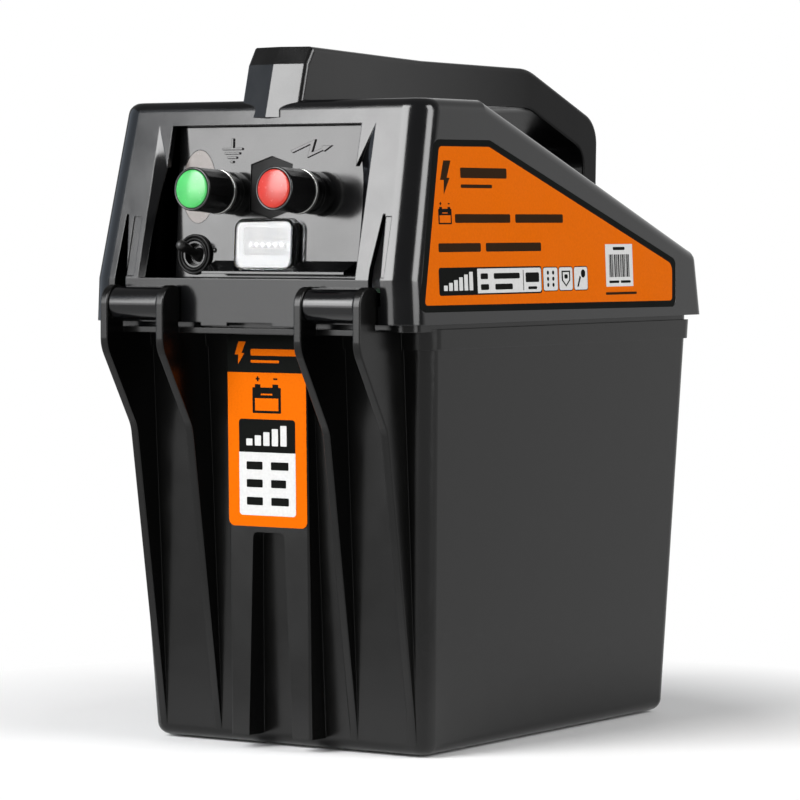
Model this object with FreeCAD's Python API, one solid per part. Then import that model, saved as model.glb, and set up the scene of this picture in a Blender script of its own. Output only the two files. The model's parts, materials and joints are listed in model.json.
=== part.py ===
"""Battery fence energizer: a tub for the battery, closed by a hinged lid that holds the electronics.

Frame: millimetres, +Z up, origin on the floor at the middle of the whole object's footprint.
The terminals, the switch and the hinge are at the front, which faces -Y. The carrying handle runs
front to back along the middle, and the lid opens by swinging up and over towards -Y.
"""

import FreeCAD, Part
import math
import os

V = FreeCAD.Vector

# ---------------------------------------------------------------- driving dimensions
WALL = 3.0                    # moulded wall thickness

LID_WIDTH = 176.0             # across X, at the lid's bottom edge
LID_FRONT = -130.2            # Y of the lower front skirt
LID_REAR = 130.2              # Y of the rear wall's bottom edge
LID_BOTTOM = 192.8            # Z of the lid's bottom edge
LID_CREASE = 212.3            # Z where the skirt turns into the leaning fascia
LID_BEND = 283.4              # Z where the fascia ends
LID_BEND_BACK = 17.3          # how far the fascia leans back by then
LID_TOP = 291.9               # Z of the flat crown
LID_CROWN_END = -62.0         # Y where the roof starts to slope down to the rear
LID_REAR_TOP = 222.3          # Z where the roof meets the rear wall
LID_REAR_LEAN = 3.7           # how far the rear wall leans in by then
LID_SIDE_DRAFT = 4.0          # how far each side leans in, from the bottom edge to the bend

TUB_BAND_TOP = 190.5          # Z of the thick rim band's top
TUB_BAND_BOTTOM = 181.5       # Z of its bottom
TUB_LIP_TOP = 197.0           # Z of the upstand that enters the lid
TUB_LIP_THICK = 2.5
TUB_LIP_FRONT = -123.2
TUB_BASE_HALF = 75.5          # half width at the floor
TUB_RIM_HALF = 84.0           # half width under the rim band
TUB_BASE_FRONT = -98.2
TUB_BASE_REAR = 114.7
TUB_RIM_FRONT = -109.0
TUB_RIM_REAR = 122.0
TUB_CORNER = 7.3
TUB_BOTTOM_ROUND = 6.0
BAND_STEP = 1.6               # how far the rim band stands out
FOOT_HEIGHT = 1.0
FOOT_ALONG = 14.0
FOOT_ACROSS = 8.0
SHELF_FRONT = -131.0          # the shelf that ties the ribs together under the rim
SHELF_BACK = -104.0
SHELF_BOTTOM = 188.0
KEEPER_HALF = 12.0            # the keeper on the rear rim, which the latch's nose goes under
KEEPER_BOTTOM = 182.5
KEEPER_TOP = 189.5

RIB_FRONT = -143.4            # Y of the ribs' front edges
RIB_THICK = 4.0
RIB_BEND = 14.0               # radius of the bends in a rib's front edge
RIB_EDGE = 0.7
OUTER_RIB = 66.6              # inner face of the outer ribs, from the middle
INNER_RIB = 35.5              # inner face of the inner ribs
COLUMN_HALF = 22.0            # the raised column that carries the front label
COLUMN_FRONT_TOP = -113.3
COLUMN_FRONT_FOOT = -110.4
COLUMN_FOOT = 6.0             # Z where the column and the ribs start
COLUMN_EDGE = 1.5
SLOT_TOP = 98.4               # the upright slot in the column, wider at its foot
SLOT_HALF_TOP = 8.5
SLOT_HALF_FOOT = 12.0
SLOT_CORNER = 2.5
FRONT_LABEL_HALF = 21.4
FRONT_LABEL_BOTTOM = 101.0
FRONT_LABEL_TOP = 187.2
LABEL_THICK = 0.4

HINGE_Y = -134.9
HINGE_Z = 201.0
EAR_RADIUS = 8.5
BARREL_RADIUS = 7.6
PIN_RADIUS = 2.5
PIN_CLEARANCE = 0.05
PIN_END = 1.2                 # how far a pin's end stays inside an ear's outer face
EAR_GAP = 0.5                 # side gap between a hinge barrel and an ear

PANEL_FOOT_Y = -112.0         # the terminal panel's front face at its bottom edge
PANEL_FOOT_Z = 212.0
PANEL_LEAN = 3.4              # degrees
PANEL_HALF = 51.5
PANEL_HEIGHT = 68.6
PANEL_THICK = 3.0
POCKET_DEEP = 5.2             # how far the recess's straight walls reach out from the panel
SCOOP_HALF = 59.1             # half width of the recess's flared mouth, at the fascia
SCOOP_SHOULDER = 262.0        # Z where each flare's slanting top meets the pocket's side wall

STUD_X = 22.25                # terminal studs, either side of the middle
STUD_UP = 38.6                # height on the panel
STUD_RADIUS = 4.0
STUD_BACK = -16.0             # from the panel's face to the stud's rear end
STUD_FRONT = 23.5             # to its front end, inside the knob
COLLAR_TOP = 8.4
WASHER_START = 8.7            # from the panel to the clamp washer's rear face, hand-tight
WASHER_THICK = 2.0
KNOB_RADIUS = 9.9
KNOB_START = 11.0             # from the panel to the knob's rear face
KNOB_END = 29.4               # to its front face
CAP_RADIUS = 8.7
CAP_SEAT = 1.4                # depth of the seat the cap is glued into
THREAD_PITCH = 1.25

HANDLE_TOP = 316.0
HANDLE_REAR = 143.4
HANDLE_FRONT = -104.0         # where the half width at the front is taken
HANDLE_HALF_FRONT = 16.3
HANDLE_HALF_REAR = 20.0
HANDLE_RISE = 2.7             # how far the front crease stands proud
HANDLE_RIM = 2.4              # rounding of the handle's outer edges
HANDLE_LIP = 1.2              # rounding of the edges round the hand hole


# ---------------------------------------------------------------- small helpers
def box(x0, x1, y0, y1, z0, z1):
    return Part.makeBox(x1 - x0, y1 - y0, z1 - z0, V(x0, y0, z0))


def rod(start, direction, radius, length):
    return Part.makeCylinder(radius, length, start, direction)


def tube(start, direction, outer, inner, length):
    return rod(start, direction, outer, length).cut(rod(start, direction, inner, length))


def prism(points, sweep):
    """The solid swept by a closed polygon of 3D points."""
    wire = Part.makePolygon(list(points) + [points[0]])
    return Part.Face(wire).extrude(sweep)


def prism_x(profile, x0, x1):
    """A polygon of (y, z) points, extruded along X."""
    return prism([V(x0, y, z) for y, z in profile], V(x1 - x0, 0, 0))


def prism_y(profile, y0, y1):
    """A polygon of (x, z) points, extruded along Y."""
    return prism([V(x, y0, z) for x, z in profile], V(0, y1 - y0, 0))


def prism_z(profile, z0, z1):
    """A polygon of (x, y) points, extruded along Z."""
    return prism([V(x, y, z0) for x, y in profile], V(0, 0, z1 - z0))


def rounded_rectangle(x0, x1, y0, y1, z, radius):
    """A closed wire in the plane at height z."""
    face = Part.makePlane(x1 - x0, y1 - y0, V(x0, y0, z))
    solid = face.extrude(V(0, 0, 1))
    upright = [e for e in solid.Edges if abs(e.tangentAt(e.FirstParameter).z) > 0.9]
    solid = solid.makeFillet(radius, upright)
    lowest = min(solid.Faces, key=lambda f: f.CenterOfMass.z)
    return lowest.OuterWire


def inset_polygon(points, inset):
    """The polygon with every side moved inwards by inset. The points run anticlockwise."""
    moved = []
    count = len(points)
    for i in range(count):
        (x0, y0), (x1, y1) = points[i], points[(i + 1) % count]
        length = math.hypot(x1 - x0, y1 - y0)
        nx, ny = -(y1 - y0) / length, (x1 - x0) / length
        moved.append((x0 + nx * inset, y0 + ny * inset, x1 - x0, y1 - y0))
    corners = []
    for i in range(count):
        ax, ay, adx, ady = moved[i - 1]
        bx, by, bdx, bdy = moved[i]
        t = ((bx - ax) * bdy - (by - ay) * bdx) / (adx * bdy - ady * bdx)
        corners.append((ax + adx * t, ay + ady * t))
    return corners


def edges_where(shape, test):
    return [e for e in shape.Edges if test(e.CenterOfMass, e)]


def rounded(shape, radius, test):
    """The shape with a fillet on each edge that passes the test."""
    chosen = edges_where(shape, test)
    return shape.makeFillet(radius, chosen)


def runs_along(edge, axis):
    """Whether a straight edge points mostly along the axis, 'x', 'y' or 'z'."""
    if not isinstance(edge.Curve, Part.Line):
        return False
    return abs(getattr(edge.tangentAt(edge.FirstParameter), axis)) > 0.9


def export(name, *shapes):
    """Writes one named sub-part, of one solid or of several that repeat."""
    shape = shapes[0] if len(shapes) == 1 else Part.makeCompound(list(shapes))
    shape.exportStep(f"parts/{name}.step")


def mirrored(shape):
    return shape.mirror(V(0, 0, 0), V(1, 0, 0))


# The terminal panel's own frame: x to the right, y up the panel, z out of its face.
PANEL = FreeCAD.Placement(
    V(0, PANEL_FOOT_Y, PANEL_FOOT_Z),
    FreeCAD.Rotation(V(1, 0, 0), 90 - PANEL_LEAN),
)


def on_panel(shape):
    """Moves a shape made in the panel's frame to its place on the lid."""
    placed = shape.copy()
    placed.Placement = PANEL.multiply(placed.Placement)
    return placed


# ---------------------------------------------------------------- lid
FASCIA_SLOPE = LID_BEND_BACK / (LID_BEND - LID_CREASE)
CROWN_FRONT = LID_FRONT + (LID_TOP - LID_CREASE) * FASCIA_SLOPE
LID_PROFILE = [
    (LID_FRONT, LID_BOTTOM),
    (LID_REAR, LID_BOTTOM),
    (LID_REAR - LID_REAR_LEAN, LID_REAR_TOP),
    (LID_CROWN_END, LID_TOP),
    (CROWN_FRONT, LID_TOP),
    (LID_FRONT, LID_CREASE),
]
SIDE_SLOPE = LID_SIDE_DRAFT / (LID_BEND - LID_BOTTOM)
FRONT_CORNER = 12.0
STEP_WIDE = 4.3               # width of the shallow step beside each slit
SKIRT_TABS = [(-24.0, -9.7), (14.9, 29.0)]
REAR_CORNER = 7.0
TOP_ROUND = 6.0


def lid_block(inset=0.0):
    """The lid's outer form, solid, with every wall moved inwards by inset."""
    profile = inset_polygon(LID_PROFILE, inset)
    if inset:
        # the inner form runs on below the bottom edge, so that it opens the shell
        profile[0] = (profile[0][0], LID_BOTTOM - 1)
        profile[1] = (profile[1][0], LID_BOTTOM - 1)
    half = LID_WIDTH / 2 - inset
    top = LID_TOP + 5
    narrow = half - SIDE_SLOPE * (top - LID_BOTTOM)
    low = LID_BOTTOM - 5
    wide = half + SIDE_SLOPE * 5
    sides = prism_y([(-wide, low), (wide, low), (narrow, top), (-narrow, top)], -200, 200)
    block = prism_x(profile, -LID_WIDTH, LID_WIDTH).common(sides)
    block = rounded(block, FRONT_CORNER - inset, lambda c, e: abs(c.x) > 70 and c.y < -100
                    and not runs_along(e, "y") and c.z < LID_TOP - inset - 1)
    block = rounded(block, REAR_CORNER - inset, lambda c, e: abs(c.x) > 70 and c.y > 120
                    and not runs_along(e, "y") and c.z > LID_BOTTOM + 2)
    return block


def lid_outer_form(inset=0.0):
    block = lid_block(inset)
    return rounded(block, TOP_ROUND - 0.6 * inset, lambda c, e: is_top_outline(c, e, inset))


def is_top_outline(centre, edge, inset):
    """Whether an edge lies on the outline of the crown or of the sloping roof."""
    ends = [v.Point for v in edge.Vertexes]
    if len(ends) < 2:
        return False
    on_top = all(abs(roof_height(p.y, inset) - p.z) < 0.05 for p in ends)
    crossing = abs(centre.y - LID_CROWN_END) < 8 and abs(centre.x) < 40
    return on_top and not crossing


def roof_height(y, inset=0.0):
    """The height of the lid's top surface at y."""
    profile = inset_polygon(LID_PROFILE, inset)
    (ry, rz), (cy, cz), (fy, fz) = profile[2], profile[3], profile[4]
    if y < cy:
        return cz
    return cz + (y - cy) * (rz - cz) / (ry - cy)


def closed_wire(points):
    return Part.makePolygon(points + points[:1])


def fascia_point(x, z):
    """A point on the leaning fascia."""
    return V(x, LID_FRONT + (z - LID_CREASE) * FASCIA_SLOPE, z)


def terminal_recess(margin=0.0, behind=0.0):
    """The room in front of the terminal panel: straight walls first, then a scoop that flares out
    to the fascia. It is grown by margin on its four sides, and starts behind the panel's face.
    Each side's flare ends above in a horn, with its point at the mouth's upper corner."""
    half = PANEL_HALF + margin
    low, high = 0.5 - margin, PANEL_HEIGHT + margin
    pocket = on_panel(box(-half, half, low, high, -behind, POCKET_DEEP))
    inner = [PANEL.multVec(V(x, up, POCKET_DEEP))
             for x, up in ((-half, low), (half, low), (half, high), (-half, high))]
    mouth_half = SCOOP_HALF + margin
    mouth_low = LID_CREASE + 0.2 - margin
    mouth_high = inner[2].z + 0.3
    outer = [fascia_point(x, z) for x, z in ((-mouth_half, mouth_low), (mouth_half, mouth_low),
                                             (mouth_half, mouth_high), (-mouth_half, mouth_high))]
    scoop = Part.makeLoft([closed_wire(inner), closed_wire(outer)], True, True)
    mouth = prism(outer, V(0, -12, 0))
    flare = scoop.fuse(mouth)
    if not margin:
        far, top = mouth_half + 5, mouth_high + 10
        flare = flare.common(prism_y([(-far, 200), (far, 200), (far, mouth_high), (mouth_half, mouth_high),
                                      (half, SCOOP_SHOULDER), (half, top), (-half, top),
                                      (-half, SCOOP_SHOULDER), (-mouth_half, mouth_high),
                                      (-far, mouth_high)], -160, -90))
    return pocket.fuse(flare)


def hinge_side(thing):
    """A thing made for the +X hinge, and its twin on the other side."""
    return thing, mirrored(thing)


def lid_housing():
    form = lid_outer_form()
    shell = form.cut(lid_outer_form(WALL))
    surround = terminal_recess(2.5, PANEL_THICK).common(form)
    shell = shell.fuse(surround).cut(terminal_recess(0.0, PANEL_THICK + 1))
    for barrel in hinge_side(hinge_barrel()):
        shell = shell.fuse(barrel)
    for cut in hinge_side(ear_clearance()):
        shell = shell.cut(cut)
    for bore in hinge_side(hinge_bore()):
        shell = shell.cut(bore)
    for slit_x in (OUTER_RIB + RIB_THICK - 1.0, -OUTER_RIB + 0.5):
        shell = shell.cut(slit_step(slit_x))
    for x0, x1 in SKIRT_TABS:
        shell = shell.fuse(skirt_tab(x0, x1))
    for boss_y in (-60.0, 60.0):
        for side in (-1, 1):
            shell = shell.fuse(floor_boss(side * 70.0, boss_y, form))
    shell = shell.fuse(latch_bracket())
    shell = shell.cut(latch_pin(LATCH_PIN_RADIUS + 0.05))
    for label in hinge_side(side_label(0.5)):
        shell = shell.cut(label)
    for x, y in HANDLE_SCREWS:
        shell = shell.cut(rod(V(x, y, LID_BOTTOM), V(0, 0, 1), 2.2, 110))
    shell = shell.removeSplitter()
    export("lid_housing", shell)
    return shell


def hinge_barrel():
    """One of the two tubes on the lid's lower front edge, between a pair of ears."""
    x0 = INNER_RIB + RIB_THICK + EAR_GAP
    x1 = OUTER_RIB - EAR_GAP
    barrel = rod(V(x0, HINGE_Y, HINGE_Z), V(1, 0, 0), BARREL_RADIUS, x1 - x0)
    web = box(x0, x1, HINGE_Y, LID_FRONT + 1, HINGE_Z - 6, HINGE_Z + BARREL_RADIUS)
    return barrel.fuse(web)


def hinge_bore():
    radius = PIN_RADIUS + PIN_CLEARANCE
    return rod(V(INNER_RIB, HINGE_Y, HINGE_Z), V(1, 0, 0), radius, OUTER_RIB - INNER_RIB)


def ear_clearance():
    """The room in the lid's front that lets the ears pass as the lid swings over."""
    around = EAR_RADIUS + 0.7
    side = 0.5
    outer_x, inner_x = OUTER_RIB - side, INNER_RIB - side
    width = RIB_THICK + 2 * side
    cut = rod(V(outer_x, HINGE_Y, HINGE_Z), V(1, 0, 0), around, width)
    cut = cut.fuse(rod(V(inner_x, HINGE_Y, HINGE_Z), V(1, 0, 0), around, width))
    slit = [(outer_x, HINGE_Z), (outer_x + width + 1.6, HINGE_Z),
            (outer_x + width - 0.6, 241.0), (outer_x + width - 1.8, 241.0), (outer_x, 217.0)]
    return cut.fuse(prism_y(slit, -140, -115))


def slit_step(slit_x):
    """The shallow step in the fascia, just to the right of a slit."""
    low, high, deep = LID_CREASE + 1.0, 240.0, 0.6
    outline = [fascia_point(slit_x, low), fascia_point(slit_x + STEP_WIDE, low),
               fascia_point(slit_x + STEP_WIDE, high), fascia_point(slit_x, high)]
    return prism([p + V(0, -5, 0) for p in outline], V(0, 5 + deep, 0))


def skirt_tab(x0, x1):
    """A small tab under the front skirt, which closes part of the gap to the shelf."""
    return box(x0, x1, LID_FRONT, LID_FRONT + 2.0, LID_BOTTOM - 1.5, LID_BOTTOM + 1)


def floor_boss(x, y, form):
    """A screw post that hangs from the roof and carries the lid's floor."""
    post = rod(V(x, y, FLOOR_TOP), V(0, 0, 1), BOSS_RADIUS, 100).common(form)
    return post.cut(rod(V(x, y, FLOOR_TOP - 1), V(0, 0, 1), FLOOR_SCREW_SHANK, 14))


SIDE_LABEL = [(-122.6, 198.3), (101.8, 197.0), (103.4, 219.5), (-60.2, 274.0), (-105.4, 273.7)]


def side_label(depth):
    """The label set into the +X side, which leans in with the draft."""
    lean = math.atan(SIDE_SLOPE)
    slab = Part.makeBox(depth + 2, 400, 120, V(-depth, -200, -10))
    slab.rotate(V(0, 0, 0), V(0, 1, 0), -math.degrees(lean))
    slab.translate(V(LID_WIDTH / 2, 0, LID_BOTTOM))
    outline = prism_x(SIDE_LABEL, 70, 100)
    outline = rounded(outline, 4.0, lambda c, e: runs_along(e, "x"))
    return slab.common(outline)


def side_labels():
    floor_cut = side_label(0.5)
    proud = floor_cut.copy()
    proud.translate(V(LABEL_THICK, 0, 0))
    label = floor_cut.cut(proud)
    export("side_label_right", label)
    export("side_label_left", mirrored(label))


FLOOR_BOTTOM = TUB_LIP_TOP + 0.4
FLOOR_TOP = FLOOR_BOTTOM + 2.5


def lid_floor():
    """The plate under the electronics. It closes the lid from below."""
    slab = lid_block(WALL + 0.4).common(box(-100, 100, -122, 200, FLOOR_BOTTOM, FLOOR_TOP))
    for x, y in FLOOR_SCREWS:
        slab = slab.cut(rod(V(x, y, FLOOR_BOTTOM - 1), V(0, 0, 1), FLOOR_SCREW_SHANK + 0.2, 10))
    for x, y in BOARD_POSTS:
        post = tube(V(x, y, FLOOR_TOP - 0.5), V(0, 0, 1), 4.0, BOARD_SCREW_SHANK,
                    BOARD_BOTTOM - FLOOR_TOP + 0.5)
        slab = slab.fuse(post)
    x, y, radius = LEAD_HOLE
    slab = slab.cut(rod(V(x, y, FLOOR_BOTTOM - 1), V(0, 0, 1), radius, 10))
    export("lid_floor", slab)


BOSS_RADIUS = 4.5
FLOOR_SCREW_SHANK = 1.5
HANDLE_SCREW_SHANK = 1.4
BOARD_SCREW_SHANK = 1.25
LEAD_HOLE = (-45.0, 92.0, 6.0)    # x, y and radius of the hole for the battery leads
FLOOR_SCREWS = [(sx * 70.0, y) for sx in (-1, 1) for y in (-60.0, 60.0)]
BOARD_POSTS = [(sx * 54.0, y) for sx in (-1, 1) for y in (-76.0, 80.0)]
BOARD_BOTTOM = 206.0
BOARD_TOP = BOARD_BOTTOM + 1.6
HANDLE_SCREWS = [(sx * 7.0, y) for sx in (-1, 1) for y in (-92.0, -76.0)]


def screws(places, head_z, length, shank, head, points_up=True):
    """Pan head screws, heads at head_z, with their shanks going up or down."""
    way = V(0, 0, 1 if points_up else -1)
    back = V(0, 0, -1 if points_up else 1)
    made = []
    for x, y in places:
        at = V(x, y, head_z)
        screw = rod(at, back, head, 1.6).fuse(rod(at, way, shank, length))
        socket = Part.makeBox(0.8, head * 1.3, 1.0, V(-0.4, -head * 0.65, -0.5))
        cross = socket.fuse(Part.makeBox(head * 1.3, 0.8, 1.0, V(-head * 0.65, -0.4, -0.5)))
        cross.translate(at + back * 1.6)
        made.append(screw.cut(cross))
    return made


# ---------------------------------------------------------------- carrying handle
HANDLE_OUTER = [(-130.0, 285.5), (-130.0, HANDLE_TOP + 1.1), (-11.0, 312.4),
                (80.0, 311.5), (HANDLE_REAR + 0.2, 286.7), (142.0, 228.0), (137.5, 214.5)]
HANDLE_INNER = [(120.0, 214.5), (128.5, 228.0), (129.8, 272.7), (79.4, 292.6), (-60.0, 292.6),
                (-60.0, 280.0)]
HANDLE_CREASE = [(-136.7, 200.0), (-107.5, 308.0), (-100.9, 318.0)]
HANDLE_BENDS = {(80.0, 311.5): 35.0, (HANDLE_REAR + 0.2, 286.7): 15.0,
                (129.8, 272.7): 12.0, (79.4, 292.6): 28.0}


def carry_handle():
    form = lid_outer_form()
    bar = prism_x(HANDLE_OUTER + HANDLE_INNER, -40, 40)
    for (y, z), radius in HANDLE_BENDS.items():
        bar = rounded(bar, radius, lambda c, e: runs_along(e, "x") and math.hypot(c.y - y, c.z - z) < 0.1)
    bar = bar.common(handle_sides()).cut(in_front_of_handle()).removeSplitter()
    bar = rounded(bar, HANDLE_RIM, is_handle_rim)
    bar = rounded(bar, HANDLE_LIP, is_hand_hole_edge)
    bar = bar.cut(form)
    for x, y in HANDLE_SCREWS:
        bar = bar.cut(rod(V(x, y, LID_TOP - 1), V(0, 0, 1), HANDLE_SCREW_SHANK, 14))
    export("carry_handle", bar)
    return bar


def handle_half(y):
    """Half of the handle's width at y. It widens evenly to the rear."""
    share = (y - HANDLE_FRONT) / (HANDLE_REAR - HANDLE_FRONT)
    return HANDLE_HALF_FRONT + share * (HANDLE_HALF_REAR - HANDLE_HALF_FRONT)


def handle_sides():
    """The room between the handle's two sides."""
    front, rear = -150.0, 160.0
    return prism_z([(-handle_half(front), front), (handle_half(front), front),
                    (handle_half(rear), rear), (-handle_half(rear), rear)], 200, 330)


def in_front_of_handle():
    """The room in front of the handle's prow, which leans back and has a crease down its middle."""
    room = []
    reach = 2 * HANDLE_HALF_FRONT
    back = 2 * HANDLE_RISE
    for (y0, z0), (y1, z1) in zip(HANDLE_CREASE, HANDLE_CREASE[1:]):
        for side in (-reach, reach):
            corners = [V(0, y0, z0), V(side, y0 + back, z0), V(side, y1 + back, z1), V(0, y1, z1)]
            room.append(prism(corners, V(0, -60, 0)))
    return room


def is_handle_rim(centre, edge):
    """The outer edges of the handle's two sides, from its front, over the top, to the rear."""
    if runs_along(edge, "x") or near_hand_hole(centre):
        return False
    at_side = abs(abs(centre.x) - handle_half(centre.y)) < 0.1
    return at_side and (centre.z > 283 or centre.y > 137)


def is_hand_hole_edge(centre, edge):
    return not runs_along(edge, "x") and near_hand_hole(centre)


def near_hand_hole(point):
    """Whether a point lies nearer to the hand hole's outline than to the handle's outer one."""
    under_bar = -62 < point.y < 84 and point.z < 300
    slope = 84 <= point.y < 131 and point.z < 300 - 0.4 * (point.y - 84)
    return under_bar or slope


# ---------------------------------------------------------------- rear latch
LATCH_PIN_RADIUS = 2.0
LATCH_PIN_Y = 136.0
LATCH_PIN_Z = 207.0
LATCH_BARREL = 4.4
LATCH_HALF = 19.5
LATCH_NOSE_Y = 130.3          # the nose's tip, just clear of the keeper on the rim


def latch_bracket():
    """Two lugs on the lid's rear wall, under the handle's foot, that hold the latch pin."""
    reach = LATCH_PIN_Y + LATCH_BARREL
    profile = [(LID_REAR - 4, 199.0), (LID_REAR + 1, 199.0), (reach, 203.5),
               (reach, 210.5), (LID_REAR - 4, 216.0)]
    lug = prism_x(profile, LATCH_HALF + 0.5, LATCH_HALF + 4.5)
    return lug.fuse(mirrored(lug))


def latch_pin(radius, half=LATCH_HALF + 4.5):
    return rod(V(-half, LATCH_PIN_Y, LATCH_PIN_Z), V(1, 0, 0), radius, 2 * half)


def latch_lever():
    """The lever that hangs behind the lid's rear wall, with its nose under the rim's keeper."""
    inner, outer = 132.6, 136.0
    profile = [(inner, LATCH_PIN_Z), (inner, 181.2), (LATCH_NOSE_Y, 180.6), (LATCH_NOSE_Y, 178.4),
               (inner, 176.6), (134.6, 168.0), (139.6, 160.5), (142.6, 161.5), (138.4, 169.0),
               (outer, 178.0), (outer + 1.5, LATCH_PIN_Z)]
    lever = prism_x(profile, -LATCH_HALF, LATCH_HALF)
    barrel = rod(V(-LATCH_HALF, LATCH_PIN_Y, LATCH_PIN_Z), V(1, 0, 0), LATCH_BARREL, 2 * LATCH_HALF)
    lever = lever.fuse(barrel).cut(latch_pin(LATCH_PIN_RADIUS + PIN_CLEARANCE))
    export("latch_lever", lever)
    export("latch_pin", latch_pin(LATCH_PIN_RADIUS))


# ---------------------------------------------------------------- tub
def tub_form(inset, z0, z1):
    """The tapered body of the tub, between two heights, with its walls moved in by inset."""
    def outline(z):
        t = z / TUB_BAND_BOTTOM
        half = TUB_BASE_HALF + (TUB_RIM_HALF - TUB_BASE_HALF) * t - inset
        front = TUB_BASE_FRONT + (TUB_RIM_FRONT - TUB_BASE_FRONT) * t + inset
        rear = TUB_BASE_REAR + (TUB_RIM_REAR - TUB_BASE_REAR) * t - inset
        return rounded_rectangle(-half, half, front, rear, z, TUB_CORNER - min(inset, 3.0))
    return Part.makeLoft([outline(z0), outline(z1)], True, True)


def rib_profile():
    """Side outline of one front rib and its ear, without the ear's round top."""
    return [(RIB_FRONT, HINGE_Z), (RIB_FRONT, TUB_BAND_BOTTOM), (-121.2, 145.0),
            (-99.0, COLUMN_FOOT), (-95.0, COLUMN_FOOT), (SHELF_BACK, TUB_BAND_BOTTOM),
            (SHELF_BACK, TUB_BAND_TOP), (SHELF_FRONT, TUB_BAND_TOP), (SHELF_FRONT, HINGE_Z)]


def front_rib(x):
    rib = prism_x(rib_profile(), x, x + RIB_THICK)
    rib = rounded(rib, RIB_BEND, lambda c, e: runs_along(e, "x") and c.y < -115 and 140 < c.z < 185)
    ear = rod(V(x, HINGE_Y, HINGE_Z), V(1, 0, 0), EAR_RADIUS, RIB_THICK)
    rib = rib.fuse(ear).removeSplitter()
    return rounded(rib, RIB_EDGE, is_rib_rim)


def is_rib_rim(centre, edge):
    """The edges round a rib's front and its ear."""
    along_x = isinstance(edge.Curve, Part.Line) and runs_along(edge, "x")
    return not along_x and (centre.y < -112 or centre.z > HINGE_Z + 2) and centre.y < -105


def lid_lip(inset, z0, z1):
    """The outline of the upstand that enters the lid, moved in by inset, between two heights."""
    half = LID_WIDTH / 2 - WALL - 0.7 - inset
    front, rear = TUB_LIP_FRONT + inset, TUB_RIM_REAR - inset
    outline = rounded_rectangle(-half, half, front, rear, z0, TUB_CORNER)
    return Part.Face(outline).extrude(V(0, 0, z1 - z0))


def tub_shell():
    body = tub_form(0.0, FOOT_HEIGHT, TUB_BAND_TOP)
    body = rounded(body, TUB_BOTTOM_ROUND, lambda c, e: abs(c.z - FOOT_HEIGHT) < 0.01)
    band = tub_form(-BAND_STEP, TUB_BAND_BOTTOM, TUB_BAND_TOP)
    lip = lid_lip(0.0, TUB_BAND_TOP - 1, TUB_LIP_TOP)
    reach = OUTER_RIB + RIB_THICK
    shelf = box(-reach, reach, SHELF_FRONT, SHELF_BACK, SHELF_BOTTOM, TUB_BAND_TOP)
    keeper = box(-KEEPER_HALF, KEEPER_HALF, 120, LATCH_NOSE_Y - 0.4, KEEPER_BOTTOM, KEEPER_TOP)
    body = body.fuse([band, lip, shelf, keeper, label_column()])
    for x in (OUTER_RIB, INNER_RIB):
        rib = front_rib(x)
        body = body.fuse([rib, mirrored(rib)])
    for x, y in FEET:
        body = body.fuse(box(x - FOOT_ALONG / 2, x + FOOT_ALONG / 2,
                             y - FOOT_ACROSS / 2, y + FOOT_ACROSS / 2, 0, FOOT_HEIGHT + WALL))
    room = tub_form(WALL, WALL + FOOT_HEIGHT, TUB_BAND_TOP + 1)
    room = rounded(room, TUB_BOTTOM_ROUND - WALL, lambda c, e: abs(c.z - WALL - FOOT_HEIGHT) < 0.01)
    room = room.fuse(lid_lip(TUB_LIP_THICK, TUB_BAND_TOP, TUB_LIP_TOP + 1))
    body = body.cut([room, hinge_pin(), mirrored(hinge_pin())])
    body = body.removeSplitter()
    export("tub_shell", body)
    return body


FEET = [(sx * 58.0, y) for sx in (-1, 1) for y in (-84.0, 102.0)]


def label_column():
    """The raised column in the middle of the front, with the slot that splits its foot in two."""
    column = prism_x([(COLUMN_FRONT_FOOT, COLUMN_FOOT), (-90.0, COLUMN_FOOT), (-90.0, TUB_BAND_TOP),
                      (COLUMN_FRONT_TOP, TUB_BAND_TOP)], -COLUMN_HALF, COLUMN_HALF)
    column = rounded(column, COLUMN_EDGE, lambda c, e: runs_along(e, "z") and c.y < -105)
    slot = prism_y([(-SLOT_HALF_FOOT, COLUMN_FOOT - 1), (SLOT_HALF_FOOT, COLUMN_FOOT - 1),
                    (SLOT_HALF_TOP, SLOT_TOP), (-SLOT_HALF_TOP, SLOT_TOP)], -125, -80)
    slot = rounded(slot, SLOT_CORNER, lambda c, e: runs_along(e, "y") and c.z > SLOT_TOP - 1)
    return column.cut(slot)


def column_face(z):
    """Y of the column's front face at a height."""
    lean = (COLUMN_FRONT_FOOT - COLUMN_FRONT_TOP) / (TUB_BAND_TOP - COLUMN_FOOT)
    return COLUMN_FRONT_TOP + (TUB_BAND_TOP - z) * lean


def tub_label():
    """The printed label on the raised column."""
    low, high = FRONT_LABEL_BOTTOM, FRONT_LABEL_TOP
    profile = [(column_face(low), low), (column_face(high), high),
               (column_face(high) - LABEL_THICK, high), (column_face(low) - LABEL_THICK, low)]
    label = prism_x(profile, -FRONT_LABEL_HALF, FRONT_LABEL_HALF)
    label = rounded(label, 3.0, lambda c, e: e.Length < 0.6 and runs_along(e, "y"))
    export("tub_label", label)


def hinge_pin():
    """The +X hinge pin, held in a blind bore in each of its two ears."""
    x0 = INNER_RIB + PIN_END
    x1 = OUTER_RIB + RIB_THICK - PIN_END
    return rod(V(x0, HINGE_Y, HINGE_Z), V(1, 0, 0), PIN_RADIUS, x1 - x0)


def hinge_pins():
    export("hinge_pin_right", hinge_pin())
    export("hinge_pin_left", mirrored(hinge_pin()))


# ---------------------------------------------------------------- battery
BATTERY_WIDTH = 125.0
BATTERY_LENGTH = 190.0
BATTERY_HEIGHT = 158.0


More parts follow.
